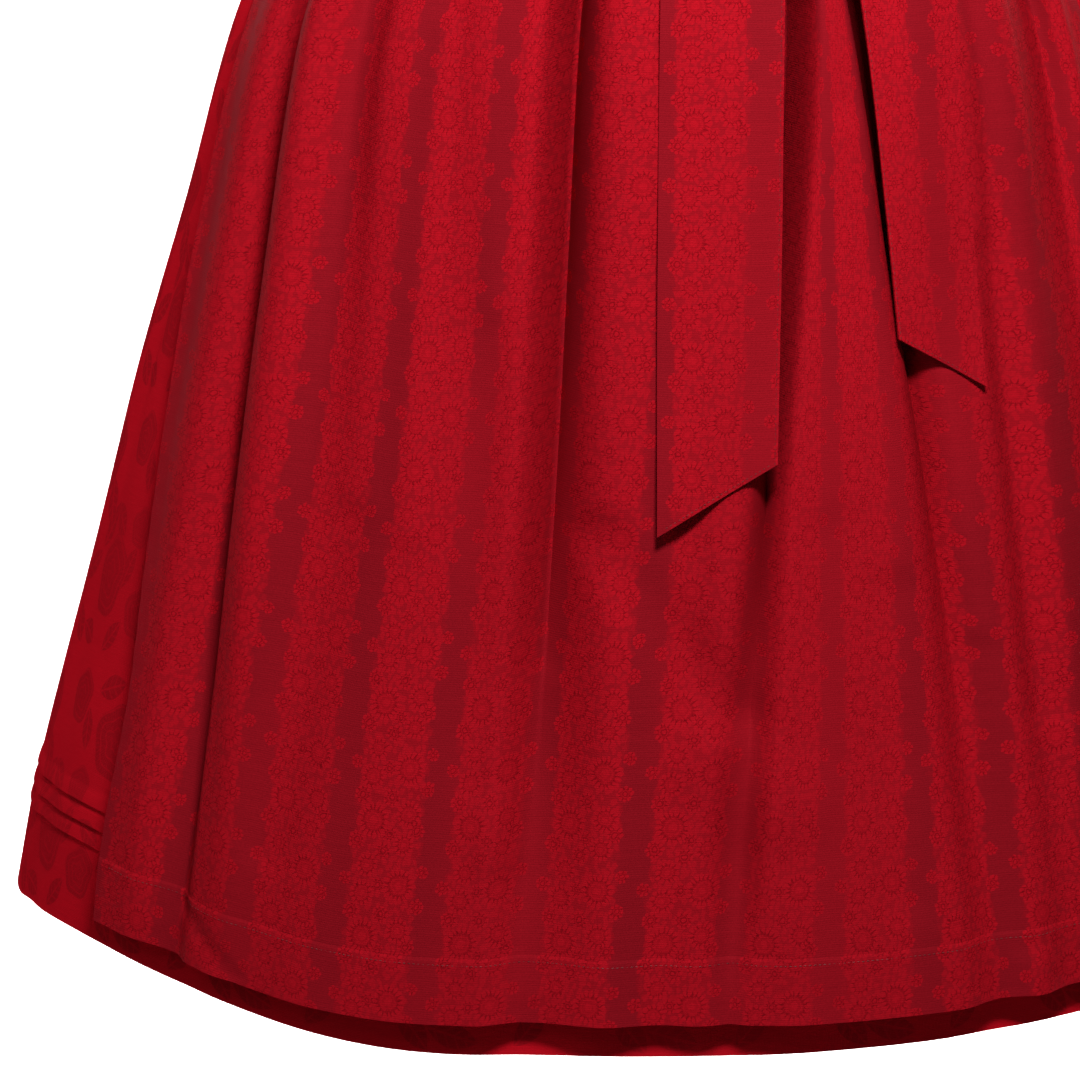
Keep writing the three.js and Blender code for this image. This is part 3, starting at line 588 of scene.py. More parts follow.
# How many rows each span has, and for the gathered span first the share that it runs to.
SKIRT_FIRST_ROW = 0.0004
SKIRT_ROWS = {"gathered": (0.1, 22), "plain": 74, "below_tucks": 9}
APRON_ROWS = {"gathered": (0.12, 22), "plain": 138, "hem": 16}
TUCK_STEPS = (-1.2, -0.2, 0.0, 0.8, 2.5, 5.0, 7.5, 9.0)
TUCK_MARGINS = {"below": 1.5, "above": 10.5}
# The apron's hem and sides are turned under: how far that stands out and where it ends, and
# the puckers that their seams draw in the cloth.
TURNED_HEM = {"stand": 0.6, "row_step": 0.6, "edge": 1e-4}
TURNED_SIDE = {"stand": 0.35, "edge": (6.5, 7.5)}
HEM_PUCKERS = {"height": 0.16, "spacing": 5.2, "below": 1.8, "reach": 3.5}
SIDE_PUCKERS = {"height": 0.16, "per_share": 850, "reach": 5}


def share_of_height(above_hem):
    """The share at a height above the hem."""
    return 1 - above_hem / SKIRT_DROP


def pintuck_edges():
    return [PINTUCKS["lowest"] + i * PINTUCKS["spacing"] for i in range(PINTUCKS["count"])]


def pintuck_raise(share):
    """Each tuck is pressed down: it stands out at its lower edge and tapers off above it."""
    above = (1 - share) * SKIRT_DROP
    total = np.zeros_like(above)
    for edge in pintuck_edges():
        k = (above - edge) / PINTUCKS["reach"]
        tuck = PINTUCKS["stand"] * np.clip(1 - k, 0, 1) ** PINTUCKS["power"]
        total += np.where(k >= 0, tuck, 0)
    return total


def skirt_rows():
    tucks = [share_of_height(edge + step) for edge in pintuck_edges() for step in TUCK_STEPS]
    top = share_of_height(pintuck_edges()[-1] + TUCK_MARGINS["above"])
    gathered, count = SKIRT_ROWS["gathered"]
    plain = dense_rows((SKIRT_FIRST_ROW, gathered, count), (gathered, top, SKIRT_ROWS["plain"]))
    below = share_of_height(PINTUCKS["lowest"] - TUCK_MARGINS["below"])
    low = np.linspace(below, 1.0, SKIRT_ROWS["below_tucks"])
    return np.unique(np.concatenate([plain, tucks, low]).round(7))


def flat_place(grid, rows, middle):
    """Places on the flat cloth: a gathered piece keeps most of its hem's width to the top."""
    widths = surface_lengths(grid, 1)
    widths = widths - widths[:, middle : middle + 1]
    across = mix(widths, widths[-1:], HEM_ARC_SHARE)
    down = np.repeat(rows[:, None] * SKIRT_DROP, grid.shape[1], 1)
    return np.stack([across, down], -1)


def skirt_panel(node, start, material):
    """One panel of the skirt, its seams close to the next panel's."""
    rows = skirt_rows()
    share, place = lattice(rows, np.linspace(0, 1, SKIRT_PANEL_COLUMNS + 1))
    gap = np.degrees(SEWN_GAP / 2 / mix(SKIRT_FORM["front"][0], SKIRT_FORM["front"][-1], share))
    angle = start + 90 * place + gap * (1 - 2 * place)
    grid = skirt_surface(angle, share)
    weave = flat_place(grid, rows, SKIRT_PANEL_COLUMNS // 2)
    weave[..., 0] += start * SKIRT_WEAVE_PER_DEGREE
    return cloth_piece(node, grid, CLOTH["skirt"], weave, material, pintuck_raise(share))


def apron_rows():
    top = (APRON_TOP_DROP + SEAM_GAP) / SKIRT_DROP
    hem = APRON_HEM_SHARE - APRON_HEM_DEPTH / SKIRT_DROP
    step = TURNED_HEM["row_step"] / SKIRT_DROP
    gathered, count = APRON_ROWS["gathered"]
    plain = (gathered, hem - 2 * step, APRON_ROWS["plain"])
    low = (hem + step, APRON_HEM_SHARE, APRON_ROWS["hem"])
    return dense_rows((top, gathered, count), plain, (hem - step, hem, 2), low)


def apron_raise(grid, share):
    """How far the apron's turned hem and sides stand out, with the puckers along their seams."""
    hem = APRON_HEM_SHARE - APRON_HEM_DEPTH / SKIRT_DROP
    width = surface_lengths(grid, 1)
    side = np.minimum(width, width[:, -1:] - width)
    edge = TURNED_HEM["edge"]
    turned = TURNED_HEM["stand"] * ease(share, hem - edge, hem + edge)
    turned = turned + TURNED_SIDE["stand"] * (1 - ease(side, *TURNED_SIDE["edge"]))
    below = ((share - hem) * SKIRT_DROP - HEM_PUCKERS["below"]) / HEM_PUCKERS["reach"]
    wave = np.sin(width * 2 * np.pi / HEM_PUCKERS["spacing"])
    turned = turned + HEM_PUCKERS["height"] * wave * np.exp(-(below**2))
    wave = np.sin(share * SIDE_PUCKERS["per_share"])
    return turned + SIDE_PUCKERS["height"] * wave * np.exp(-side / SIDE_PUCKERS["reach"])


def apron_panel(material):
    rows = apron_rows()
    share, across = lattice(rows, apron_columns(APRON_COLUMNS + 1))
    grid = apron_surface(across, share)
    weave = flat_place(grid, rows, APRON_COLUMNS // 2)
    raised = apron_raise(grid, share)
    return cloth_piece("apron_panel", grid, CLOTH["apron"], weave, material, raised)


# ---- the waist: band, ties and bow ----

BAND_OUT = SEAM_GAP + BAND["out"]
KNOT_OUT = BAND_OUT + TIE["thick"] + 2 * SEAM_GAP + KNOT["half_depth"] + 0.5
STRIP_ROWS = 25
BAND_COLUMNS = 260
TIE_COLUMNS_PER_DEGREE = 1.6
# The creases that run along a strip: where each lies across it, its depth, how far it wanders
# and its reach, as shares of the strip's width but for the depth.
CREASE_WANDER = {"waves": 5.0, "phase": 400}
BAND_FOLDS = table("at deep wander reach", (0.06, 0.18, 0.0, 0.03), (0.94, 0.18, 0.0, 0.03))
WRAP_FOLDS = table(
    "at deep wander reach",
    (0.16, 0.5, 0.03, 0.05),
    (0.33, 0.7, 0.05, 0.07),
    (0.52, 0.5, 0.06, 0.06),
    (0.68, 0.8, 0.04, 0.07),
    (0.86, 0.5, 0.03, 0.05),
)


def bodice_place(angle, height, out):
    turn = np.radians(angle)
    sine, cosine = np.sin(turn), np.cos(turn)
    side, front, back, square, shift = section(BODICE_FORM, height)
    x = (side + out) * signed_power(sine, 2 / square)
    depth = np.where(cosine > 0, front, back) + out
    y = shift - depth * signed_power(cosine, 2 / square)
    return np.stack(np.broadcast_arrays(x, y, height), -1)


def waist_place(angle, height, out):
    """A place round the waist: on the bodice above the seam and on the skirt below it."""
    below = skirt_place(angle, np.maximum(0, -height / SKIRT_DROP), out)
    above = bodice_place(angle, np.maximum(0, height), out)
    return np.where((height < 0)[..., None], below, above)


def waist_strip(node, angles, levels, out, folds, material):
    """A strip round the waist, between the top and bottom of its levels."""
    deepest = levels["top"] - levels["bottom"]
    height, angle = lattice(np.linspace(levels["top"], levels["bottom"], STRIP_ROWS), angles)
    grid = waist_place(angle, height, out)
    place = (levels["top"] - height) / deepest
    raised = np.zeros_like(place)
    for at, deep, wander, reach in zip(*folds.values()):
        wave = np.sin(np.radians(angle * CREASE_WANDER["waves"] + at * CREASE_WANDER["phase"]))
        raised = raised - deep * np.exp(-(((place - at - wander * wave) / reach) ** 2))
    weave = np.stack([place * deepest, surface_lengths(grid, 1)], -1)
    return cloth_piece(node, grid, levels["cloth"], weave, material, raised)


def apron_band(material):
    angles = np.linspace(-BAND["reach"], BAND["reach"], BAND_COLUMNS)
    return waist_strip("apron_band", angles, BAND, BAND_OUT, BAND_FOLDS, material)


def tie_wrap(node, ends, over_at_back, material):
    """A tie lies over the band in front and on the dress behind, where the left one crosses over."""
    angles = np.linspace(*ends, int(abs(ends[1] - ends[0]) * TIE_COLUMNS_PER_DEGREE))
    turned = np.abs(angles)
    leaves_band = BAND["reach"] + np.array(TIE["leaves_band"])
    on_band = (1 - ease(turned, *leaves_band)) * (BAND_OUT + 0.1)
    crossing = over_at_back * ease(turned, *TIE["crosses"]) * (TIE["thick"] + SEAM_GAP)
    out = SEAM_GAP + TIE["thick"] + on_band + crossing
    return waist_strip(node, angles, TIE, out, WRAP_FOLDS, material)


def knot_side():
    """The way along the waist at the knot, in mm for each degree."""
    ends = np.array([KNOT["angle"] - 1, KNOT["angle"] + 1])
    spots = waist_place(ends, np.full(2, KNOT["height"]), KNOT_OUT)
    return (spots[1] - spots[0]) / 2


def bow_knot(material):
    """The knot: a turn of the tie drawn tight, its folds running down and pinched at the middle."""
    up, around = lattice(np.linspace(-np.pi / 2, np.pi / 2, 65), np.linspace(0, 2 * np.pi, 129)[:-1])
    x = signed_power(np.cos(up) * np.cos(around), KNOT["round"])
    y = signed_power(np.cos(up) * np.sin(around), KNOT["round"])
    z = signed_power(np.sin(up), KNOT["round"])
    # Two waves of folds that run down the knot.
    fold = 0.045 * np.cos(x * 9.5 + 1.2 * z) + 0.03 * np.cos(x * 17 - 2 * z + 1)
    share, reach = KNOT["narrow"]
    narrow = 1 - share * np.exp(-((z / reach) ** 2))
    wide, thick, tall = KNOT["within"]
    across = x * KNOT["half_width"] * wide * narrow
    deep = y * KNOT["half_depth"] * (thick + fold)
    high = z * KNOT["half_height"] * (tall + 0.4 * fold)
    turn = math.atan2(knot_side()[1], knot_side()[0])
    turned_x = across * math.cos(turn) - deep * math.sin(turn)
    turned_y = across * math.sin(turn) + deep * math.cos(turn)
    middle = waist_place(np.array([KNOT["angle"]]), np.array([KNOT["height"]]), KNOT_OUT)[0]
    points = (np.stack([turned_x, turned_y, high], -1) + middle).reshape(-1, 3)
    weave = np.stack([x * KNOT["weave"], high], -1).reshape(-1, 2)
    piece = finish_piece("bow_knot_cloth", points, ring_quads(*up.shape), weave, material)
    return weld(piece, 0.02)


def bow_loop(node, side, material):
    """A loop of the bow: the tie leaves the knot, turns round and comes back behind."""
    start = (KNOT["half_width"] + LOOP["gap"][side]) / np.linalg.norm(knot_side())
    s, c = lattice(np.linspace(0, 1, 161), np.linspace(-1, 1, 45))
    out = (1 - np.cos(2 * np.pi * s)) / 2
    angle = KNOT["angle"] + side * (start + LOOP["length"] * out)
    width = mix(*LOOP["widths"], ease(out, 0, 0.45))
    middle = LOOP["drop"] + LOOP["more_drop"] * out**1.3
    # Folds drawn in at the knot, and a soft wave further out, both in mm.
    folds = 1.6 * (1 - ease(out, 0.15, 0.8)) * np.cos(c * 7.5 + 2.5 * out + side)
    folds = folds + 0.9 * np.cos(c * 3.1 + 5 * s) * out
    puff = LOOP["puff"] * np.sin(2 * np.pi * s) * out**0.7 + TIE["thick"] * (1 - 2 * s)
    stand = KNOT_OUT + LOOP["stand"] * ease(out, 0, 0.4)
    height = -(middle + c * width / 2)
    grid = waist_place(angle, height, stand + puff + folds * ease(out, 0.0, 0.12))
    weave = np.stack([c * TIE_CLOTH_HALF, surface_lengths(grid, 0)], -1)
    if side < 0:
        grid, weave = grid[:, ::-1], weave[:, ::-1]
    return cloth_piece(node, grid, CLOTH["loop"], weave, material)


def front_place(across, drop, out):
    """A place on the front at a distance across and a drop, moved out from the skirt's form."""
    share = drop / SKIRT_DROP
    angle = np.zeros_like(share)
    for _ in range(4):
        side = read(SKIRT_FORM, "drop", share * SKIRT_DROP, "side") + out
        angle = np.degrees(np.arcsin(np.clip(across / side, -1, 1)))
        share = drop / (SKIRT_DROP - hem_rise(angle))
    return skirt_place(angle, share, out)


def bow_tail(node, rows, slant, phase, material):
    """A tail of the bow, which hangs in front of the apron and ends in a slanted cut."""
    first, last = rows["drop"][0], rows["drop"][-1]
    drop, c = lattice(np.linspace(first, last, 181), np.linspace(-1, 1, 41))
    middle, width, off = section(rows, drop)
    cut = ease(drop, rows["drop"][4], last) * slant * -c / 2
    # Folds below the knot, a soft wave further down, and a flutter along one edge, in mm.
    folds = 1.3 * np.cos(c * 5.5 + phase + drop / 40) * (1 - ease(drop, 50, 170))
    folds = folds + 1.1 * np.cos(c * 2.2 + drop / 47 + phase) * ease(drop, 60, 140)
    one_edge = np.exp(-((1 - c * math.copysign(1, -slant)) ** 2) * 2)
    folds = folds + 1.2 * np.cos(drop / 21 + phase) * one_edge * ease(drop, 110, 200)
    out = apron_stands_off(drop / SKIRT_DROP) + TIE["thick"] + SEAM_GAP + off
    grid = front_place(middle + c * width / 2, drop + cut, out + folds)
    weave = np.stack([c * TIE_CLOTH_HALF + phase * 9, drop + cut], -1)
    edge = 1 - ease((1 - np.abs(c)) * width / 2, *TURNED_TAIL["edge"])
    return cloth_piece(node, grid, CLOTH["tail"], weave, material, TURNED_TAIL["stand"] * edge)


# ---- the bodice ----


def angle_across(across, height):
    side = read(BODICE_FORM, "height", height, "side")
    square = read(BODICE_FORM, "height", height, "square")
    return np.degrees(np.arcsin(signed_power(np.clip(across / side, -1, 1), square / 2)))


def strap_place(across, share, strap, facing):
    """A place on a shoulder strap: share 0 is at its base and 1 on the shoulder."""
    side, square = BODICE_FORM["side"][-1], BODICE_FORM["square"][-1]
    base = BODICE_FORM["front" if facing < 0 else "back"][-1]
    depth = base * (1 - (np.abs(across) / side) ** square) ** (1 / square)
    top = SHOULDER["at_neck"] - SHOULDER["slope"] * (np.abs(across) - SHOULDER["neck_across"])
    turn = np.arcsin(np.clip(share, 0, 1) ** (strap["round"] / 2))
    reach = depth * np.cos(turn) ** (2 / strap["round"]) + SEAM_GAP / 2 * share
    y = SHOULDER["middle"] + facing * reach
    return np.stack([across, y, mix(SHOULDER["base"], top, share)], -1)


def bodice_panel(node, side, facing, material):
    """A front or back panel, from the shoulder down to the waist seam."""
    strap = FRONT_STRAP if facing < 0 else BACK_STRAP
    seam = FRONT_SEAM if facing < 0 else BACK_SEAM
    turns = np.sin(np.linspace(np.pi / 2, 0.04, 44)) ** (2 / strap["round"])
    heights = np.linspace(SHOULDER["base"], BODICE_BOTTOM, 70)
    inner_low = 0 * heights
    if facing < 0:
        neck = np.interp(heights, FRONT_NECK["height"], FRONT_NECK["across"])
        inner_low = np.where(heights <= FRONT_NECK["height"][0], 0, neck)
    edges = strap["edges"]
    inner = np.concatenate([np.interp(turns, edges["share"], edges["inner"]), inner_low])
    outer_low = read(seam, "height", heights, "across")
    outer = np.concatenate([read(edges, "share", turns, "outer"), outer_low])
    k = np.linspace(0, 1, 52)
    across = mix(inner[:, None] + SEWN_GAP / 2, outer[:, None] - SEAM_GAP / 2, k)
    on_strap = strap_place(side * across[: len(turns)], lattice(turns, k)[0], strap, facing)
    high = lattice(heights, k)[0]
    angle = side * angle_across(across[len(turns) :], high)
    on_body = bodice_place(angle if facing < 0 else 180 - angle, high, 0)
    grid = np.concatenate([on_strap, on_body])
    lengths = surface_lengths(grid, 0)
    weave = np.stack([side * across, lengths[len(turns)] - lengths], -1)
    if side * facing > 0:
        grid, weave = grid[:, ::-1], weave[:, ::-1]
    return cloth_piece(node, grid, CLOTH["bodice"], weave, material)


def bodice_side(node, side, material):
    height, k = lattice(np.linspace(BODICE_TOP, BODICE_BOTTOM, 80), np.linspace(0, 1, 56))
    bend = np.maximum(0, height - ARMHOLE["from"]) / (BODICE_TOP - ARMHOLE["from"])
    dip = ARMHOLE["dip"] * np.sin(np.pi * k) ** 2 * bend
    front = angle_across(read(FRONT_SEAM, "height", height, "across") + SEAM_GAP / 2, height)
    back = 180 - angle_across(read(BACK_SEAM, "height", height, "across") + SEAM_GAP / 2, height)
    angle = mix(front, back, k) if side > 0 else -mix(back, front, k)
    grid = bodice_place(angle, height - dip, 0)
    weave = np.stack([angle * SIDE_WEAVE_PER_DEGREE, -height], -1)
    return cloth_piece(node, grid, CLOTH["bodice"], weave, material)


def placket(material):
    half = PLACKET["half_width"]
    heights = np.linspace(PLACKET["top"], BAND["top"] + 2, 120)
    height, x = lattice(heights, np.linspace(-half, half, 25))
    grid = bodice_place(angle_across(x, height), height, SEAM_GAP + PLACKET["out"])
    weave = np.stack([x, -height], -1)
    return cloth_piece("bodice_placket", grid, CLOTH["placket"], weave, material)


def covered_button(number, material):
    """A covered button: cloth drawn over a dome and tucked under its rim."""
    middle = np.mean(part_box(f"button_{number}"), axis=0) / MM
    height = middle[2] + SHOULDER_ABOVE_WAIST
    slope = bodice_place(np.zeros(2), np.array([height + 4, height - 4]), 0.0)
    down = slope[1] - slope[0]
    outward = np.cross(down, [1.0, 0, 0])
    outward /= np.linalg.norm(outward)
    upward = -down / np.linalg.norm(down)
    source = np.linspace(0, 1, len(BUTTON_PROFILE["radius"]))
    steps = np.linspace(0, 1, 33)
    out = smooth_line(source, BUTTON_PROFILE["out"], steps)
    radius = smooth_line(source, BUTTON_PROFILE["radius"], steps) * BUTTONS["radius"]
    out, around = lattice(out, np.linspace(0, 2 * np.pi, 49)[:-1])
    gathered = np.cos(around * BUTTONS["gathers"]) * np.exp(-((out - 0.8) ** 2))
    radius = radius[:, None] * (1 + BUTTONS["gather_depth"] * gathered)
    flat = np.stack([radius * np.cos(around), radius * np.sin(around)], -1)
    seat = np.array([0.0, middle[1], height]) - outward * BUTTONS["dome"] / 2
    points = seat + flat @ np.stack([[1.0, 0, 0], upward]) + out[..., None] * outward
    quads, weave = ring_quads(*out.shape), flat.reshape(-1, 2)
    piece = finish_piece(f"button_{number}_cloth", points.reshape(-1, 3), quads, weave, material)
    return weld(piece, 0.1)


# ---- materials ----


def linear(*srgb):
    """A colour given as 0 to 255, as the shader takes it."""
    return tuple(((v / 255 + 0.055) / 1.055) ** 2.4 if v > 10 else v / 255 / 12.92 for v in srgb)


SHEEN_TINT = linear(235, 120, 130)
SHEEN_ROUGH = 0.45


def math_method(operation):
    """A method of Field that adds one Math node."""

    def method(self, *others):
        return self.math(operation, *others)

    return method


class Field:
    """A number that varies over a surface. Arithmetic on it adds Math nodes to its tree."""

    def __init__(self, tree, socket):
        self.tree = tree
        self.socket = socket

    def math(self, operation, *others):
        node = self.tree.nodes.new("ShaderNodeMath")
        node.operation = operation
        for slot, value in zip(node.inputs, (self, *others)):
            plug(self.tree, slot, value)
        return Field(self.tree, node.outputs[0])

    def __rsub__(self, other):
        return self * -1.0 + other

    __add__ = __radd__ = math_method("ADD")
    __mul__ = __rmul__ = math_method("MULTIPLY")
    __sub__ = math_method("SUBTRACT")
    sine = math_method("SINE")
    size = math_method("ABSOLUTE")
    most = math_method("MAXIMUM")
    least = math_method("MINIMUM")

    def rises(self, low, high):
        """A soft step from 0 to 1 between low and high, or from 1 to 0 if low is the greater."""
        node = self.tree.nodes.new("ShaderNodeMapRange")
        node.interpolation_type = "SMOOTHSTEP"
        plug(self.tree, node.inputs["Value"], self)
        low, high, ends = (low, high, (0.0, 1.0)) if low < high else (high, low, (1.0, 0.0))
        node.inputs["From Min"].default_value = low
        node.inputs["From Max"].default_value = high
        node.inputs["To Min"].default_value, node.inputs["To Max"].default_value = ends
        return Field(self.tree, node.outputs["Result"])


def plug(tree, slot, value):
    if isinstance(value, Field):
        tree.links.new(value.socket, slot)
    else:
        slot.default_value = value


def vector_math(tree, operation, first, second=None, third=None, output="Vector"):
    node = tree.nodes.new("ShaderNodeVectorMath")
    node.operation = operation
    for slot, value in zip(node.inputs, (first, second, third)):
        if value is not None:
            plug(tree, slot, value)
    return Field(tree, node.outputs[output])


def choose_vector(tree, share, first, second):
    node = tree.nodes.new("ShaderNodeMix")
    node.data_type = "VECTOR"
    plug(tree, node.inputs[0], share)
    plug(tree, node.inputs[4], first)
    plug(tree, node.inputs[5], second)
    return Field(tree, node.outputs[1])


def split(vector):
    node = vector.tree.nodes.new("ShaderNodeSeparateXYZ")
    plug(vector.tree, node.inputs[0], vector)
    return [Field(vector.tree, node.outputs[i]) for i in range(3)]


def nearest(place, repeat, rows, row_place, distance):
    """The place relative to the nearest of a repeat's motifs, at the motif's own scale."""
    tree = place.tree
    best_place, best = None, None
    for i in range(len(rows["x"])):
        row = {key: float(rows[key][i]) for key in rows}
        upper = (row["x"] + repeat[0] / 2, row["y"] + repeat[1] / 2, 1.0)
        lower = (row["x"] - repeat[0] / 2, row["y"] - repeat[1] / 2, -1.0)
        near = row_place(vector_math(tree, "WRAP", place, upper, lower), row)
        away = distance(near)
        if best is None:
            best_place, best = near, away
        else:
            best_place = choose_vector(tree, away.math("LESS_THAN", best), best_place, near)
            best = best.least(away)
    return best_place, best


SIZE_CODE = 0.001


def flower_place(wrapped, row):
    """The place on a flower of radius 1. Its third number carries the flower's real radius."""
    x, y, radius = row["x"], row["y"], row["radius"]
    scale = (1 / radius, 1 / radius, 0.0)
    middle = (-x / radius, -y / radius, radius * SIZE_CODE)
    return vector_math(wrapped.tree, "MULTIPLY_ADD", wrapped, scale, middle)


def leaf_place(wrapped, row):
    centred = vector_math(wrapped.tree, "SUBTRACT", wrapped, (row["x"], row["y"], 0.0))
    turned = wrapped.tree.nodes.new("ShaderNodeVectorRotate")
    turned.rotation_type = "Z_AXIS"
    turned.inputs["Angle"].default_value = math.radians(row["turn"])
    plug(wrapped.tree, turned.inputs["Vector"], centred)
    flat = Field(wrapped.tree, turned.outputs["Vector"])
    length, width = row["radius"], row["radius"] * row["slim"]
    return vector_math(wrapped.tree, "MULTIPLY", flat, (1 / length, 1 / width, 0.0))


def how_far(near):
    return vector_math(near.tree, "LENGTH", near, output="Value")


# The flowers' outline and lines, as shares of a flower's radius where they are lengths. A pair
# is where something begins and ends, and a small flower's radius is in mm.
PETALS_PER_MM = 1.9
PETAL_NOTCH = 0.2
PETAL_END = (0.86, 0.76)
BETWEEN_PETALS = (0.42, 0.12)
FLOWER_HEART = 0.3
HEART_LINE = (0.12, 0.03)
INNER_PETALS = {"at": 0.5, "notch": 0.14, "line": (0.09, 0.03), "shows": 0.6}
SMALL_FLOWER = (6.4, 4.8)


def flowers(place, repeat, rows):
    """Rayed flowers: how far each place is in a petal, and how far on a line between petals."""
    spot, radius = nearest(place, repeat, rows, flower_place, how_far)
    x, y, size = split(spot)
    petals = (size * (PETALS_PER_MM / SIZE_CODE)).math("ROUND")
    turn = y.math("ARCTAN2", x) * petals * 0.5
    ray = turn.math("COSINE").size()
    inside = (radius - ray * PETAL_NOTCH).rises(*PETAL_END)
    between = ray.rises(*BETWEEN_PETALS) * radius.rises(FLOWER_HEART, 2 * FLOWER_HEART)
    inner = turn.sine().size() * INNER_PETALS["notch"]
    second = (radius - inner - INNER_PETALS["at"]).size().rises(*INNER_PETALS["line"])
    ring = (radius - FLOWER_HEART).size().rises(*HEART_LINE)
    small = size.rises(*(limit * SIZE_CODE for limit in SMALL_FLOWER))
    lines = between.most(ring * (small * 0.5 + 0.3)).most(second * INNER_PETALS["shows"])
    return inside, lines * inside


def leaf_distance(near):
    x, y, _ = split(near)
    return x * x + y.size()


def leaves(place, repeat, rows, veins):
    """Pointed leaves with a midrib and side veins."""
    spot, edge = nearest(place, repeat, rows, leaf_place, leaf_distance)
    x, y, _ = split(spot)
    inside = edge.rises(1.0, 0.88)
    midrib = y.size().rises(0.13, 0.05)
    side = ((x - y.size() * 0.35) * veins).sine().rises(0.55, 0.95)
    return inside, midrib.most(side * 0.7) * inside


def sprigs(place, size):
    """Small scattered leaves: how far a place is in one, and the middle of the nearest one."""
    tree = place.tree
    cells = tree.nodes.new("ShaderNodeTexVoronoi")
    cells.voronoi_dimensions = "2D"
    cells.inputs["Scale"].default_value = 1.0
    stretched = vector_math(tree, "MULTIPLY", place, (1 / size[0], 1 / size[1], 0.0))
    plug(tree, cells.inputs["Vector"], stretched)
    inside = Field(tree, cells.outputs["Distance"]).rises(0.5, 0.34)
    position = Field(tree, cells.outputs["Position"])
    return inside, vector_math(tree, "MULTIPLY", position, (size[0], size[1], 0.0))


def noise(place, scale, detail=2.0):
    """Fractal noise whose features are about 1/scale mm, as (x, y) scales."""
    stretched = vector_math(place.tree, "MULTIPLY", place, (scale[0], scale[1], 1.0))
    node = place.tree.nodes.new("ShaderNodeTexNoise")
    node.noise_dimensions = "2D"
    node.inputs["Scale"].default_value = 1.0
    node.inputs["Detail"].default_value = detail
    plug(place.tree, node.inputs["Vector"], stretched)
    return Field(place.tree, node.outputs[0])


def colour_mix(tree, share, first, second):
    node = tree.nodes.new("ShaderNodeMix")
    node.data_type = "RGBA"
    plug(tree, node.inputs[0], share)
    for slot, colour in ((node.inputs[6], first), (node.inputs[7], second)):
        if isinstance(colour, Field):
            tree.links.new(colour.socket, slot)
        else:
            slot.default_value = (*colour, 1.0)
    return Field(tree, node.outputs[2])


def new_material(name):
    """A new material, with its node tree and the inputs of its shader."""
    material = bpy.data.materials.new(name)
    material.use_nodes = True
    tree = material.node_tree
    return material, tree, tree.nodes["Principled BSDF"].inputs


def mottled_material(name, scale, tones, rough):
    """A plain material whose tone varies a little from place to place."""
    material, tree, inputs = new_material(name)
    geometry = tree.nodes.new("ShaderNodeNewGeometry")
    grain = noise(Field(tree, geometry.outputs["Position"]), scale)
    plug(tree, inputs["Base Color"], colour_mix(tree, grain, *tones))
    inputs["Roughness"].default_value = rough
    return material


# The threads of both cloths. The weft wanders: how often for each mm, and by how much. The
# scales are those of the uneven yarn and of the grain, and each of "shade" and "bump" says how
# much something shows. In patches of a slow noise the figure shows more or less.
WANDER = (0.4, 0.7)
SLUB_SCALE, GRAIN_SCALE = (0.05, 1.0), (0.9, 1.3)
SHADE = {"slub": 0.2, "grain": 0.3}
BUMP = {"weft": 0.03, "warp": 0.02, "grain": 0.1}
SHOT = {"limits": (0.32, 0.62), "more": 0.45, "least": 0.6, "elsewhere": 0.6}


def cloth_material(name, colours, weave, finish):
    """A woven cloth. weave(place) gives how much of a place is figure, and how much is line."""
    material, tree, inputs = new_material(name)
    inputs["Sheen Weight"].default_value = finish["sheen"]
    inputs["Sheen Roughness"].default_value = SHEEN_ROUGH
    inputs["Sheen Tint"].default_value = (*SHEEN_TINT, 1.0)
    inputs["Specular IOR Level"].default_value = finish["specular"]
    inputs["Specular Tint"].default_value = (*SHEEN_TINT, 1.0)
    inputs["IOR"].default_value = finish["ior"]
    attribute = tree.nodes.new("ShaderNodeAttribute")
    attribute.attribute_name = "weave"
    place = Field(tree, attribute.outputs["Vector"])
    x, y, _ = split(place)

    figure, lines = weave(place)
    wander = (x * WANDER[0]).sine() * WANDER[1]
    weft = (y * (2 * math.pi / finish["weft"]) + wander).sine()
    warp = (x * (2 * math.pi / finish["warp"])).sine()
    slub = noise(place, SLUB_SCALE, 2.0)
    grain = noise(place, GRAIN_SCALE, 1.0)

    slow = noise(place, finish["shot"], 1.0)
    shown = slow.rises(*SHOT["limits"]) * SHOT["more"] + SHOT["least"]
    shared = figure * shown + (1 - shown) * SHOT["elsewhere"]
    colour = colour_mix(tree, shared, colours["ground"], colours["figure"])
    colour = colour_mix(tree, lines, colour, colours["line"])
    uneven = (slub - 0.5) * SHADE["slub"] + (grain - 0.5) * SHADE["grain"]
    shade = weft * finish["hatch"] + uneven + 1.0
    tint = vector_math(tree, "SCALE", colour)
    plug(tree, tint.socket.node.inputs["Scale"], shade)
    plug(tree, inputs["Base Color"], tint)

    bump = tree.nodes.new("ShaderNodeBump")
    bump.inputs["Strength"].default_value = finish["bump"]
    bump.inputs["Distance"].default_value = MM
    threads = weft * BUMP["weft"] + warp * BUMP["warp"]
    plug(tree, bump.inputs["Height"], threads + grain * BUMP["grain"])
    tree.links.new(bump.outputs["Normal"], inputs["Normal"])
    rough = figure * finish["figure_rough"] + (slub - 0.5) * 0.1 + finish["rough"]
    plug(tree, inputs["Roughness"], rough)
    return material


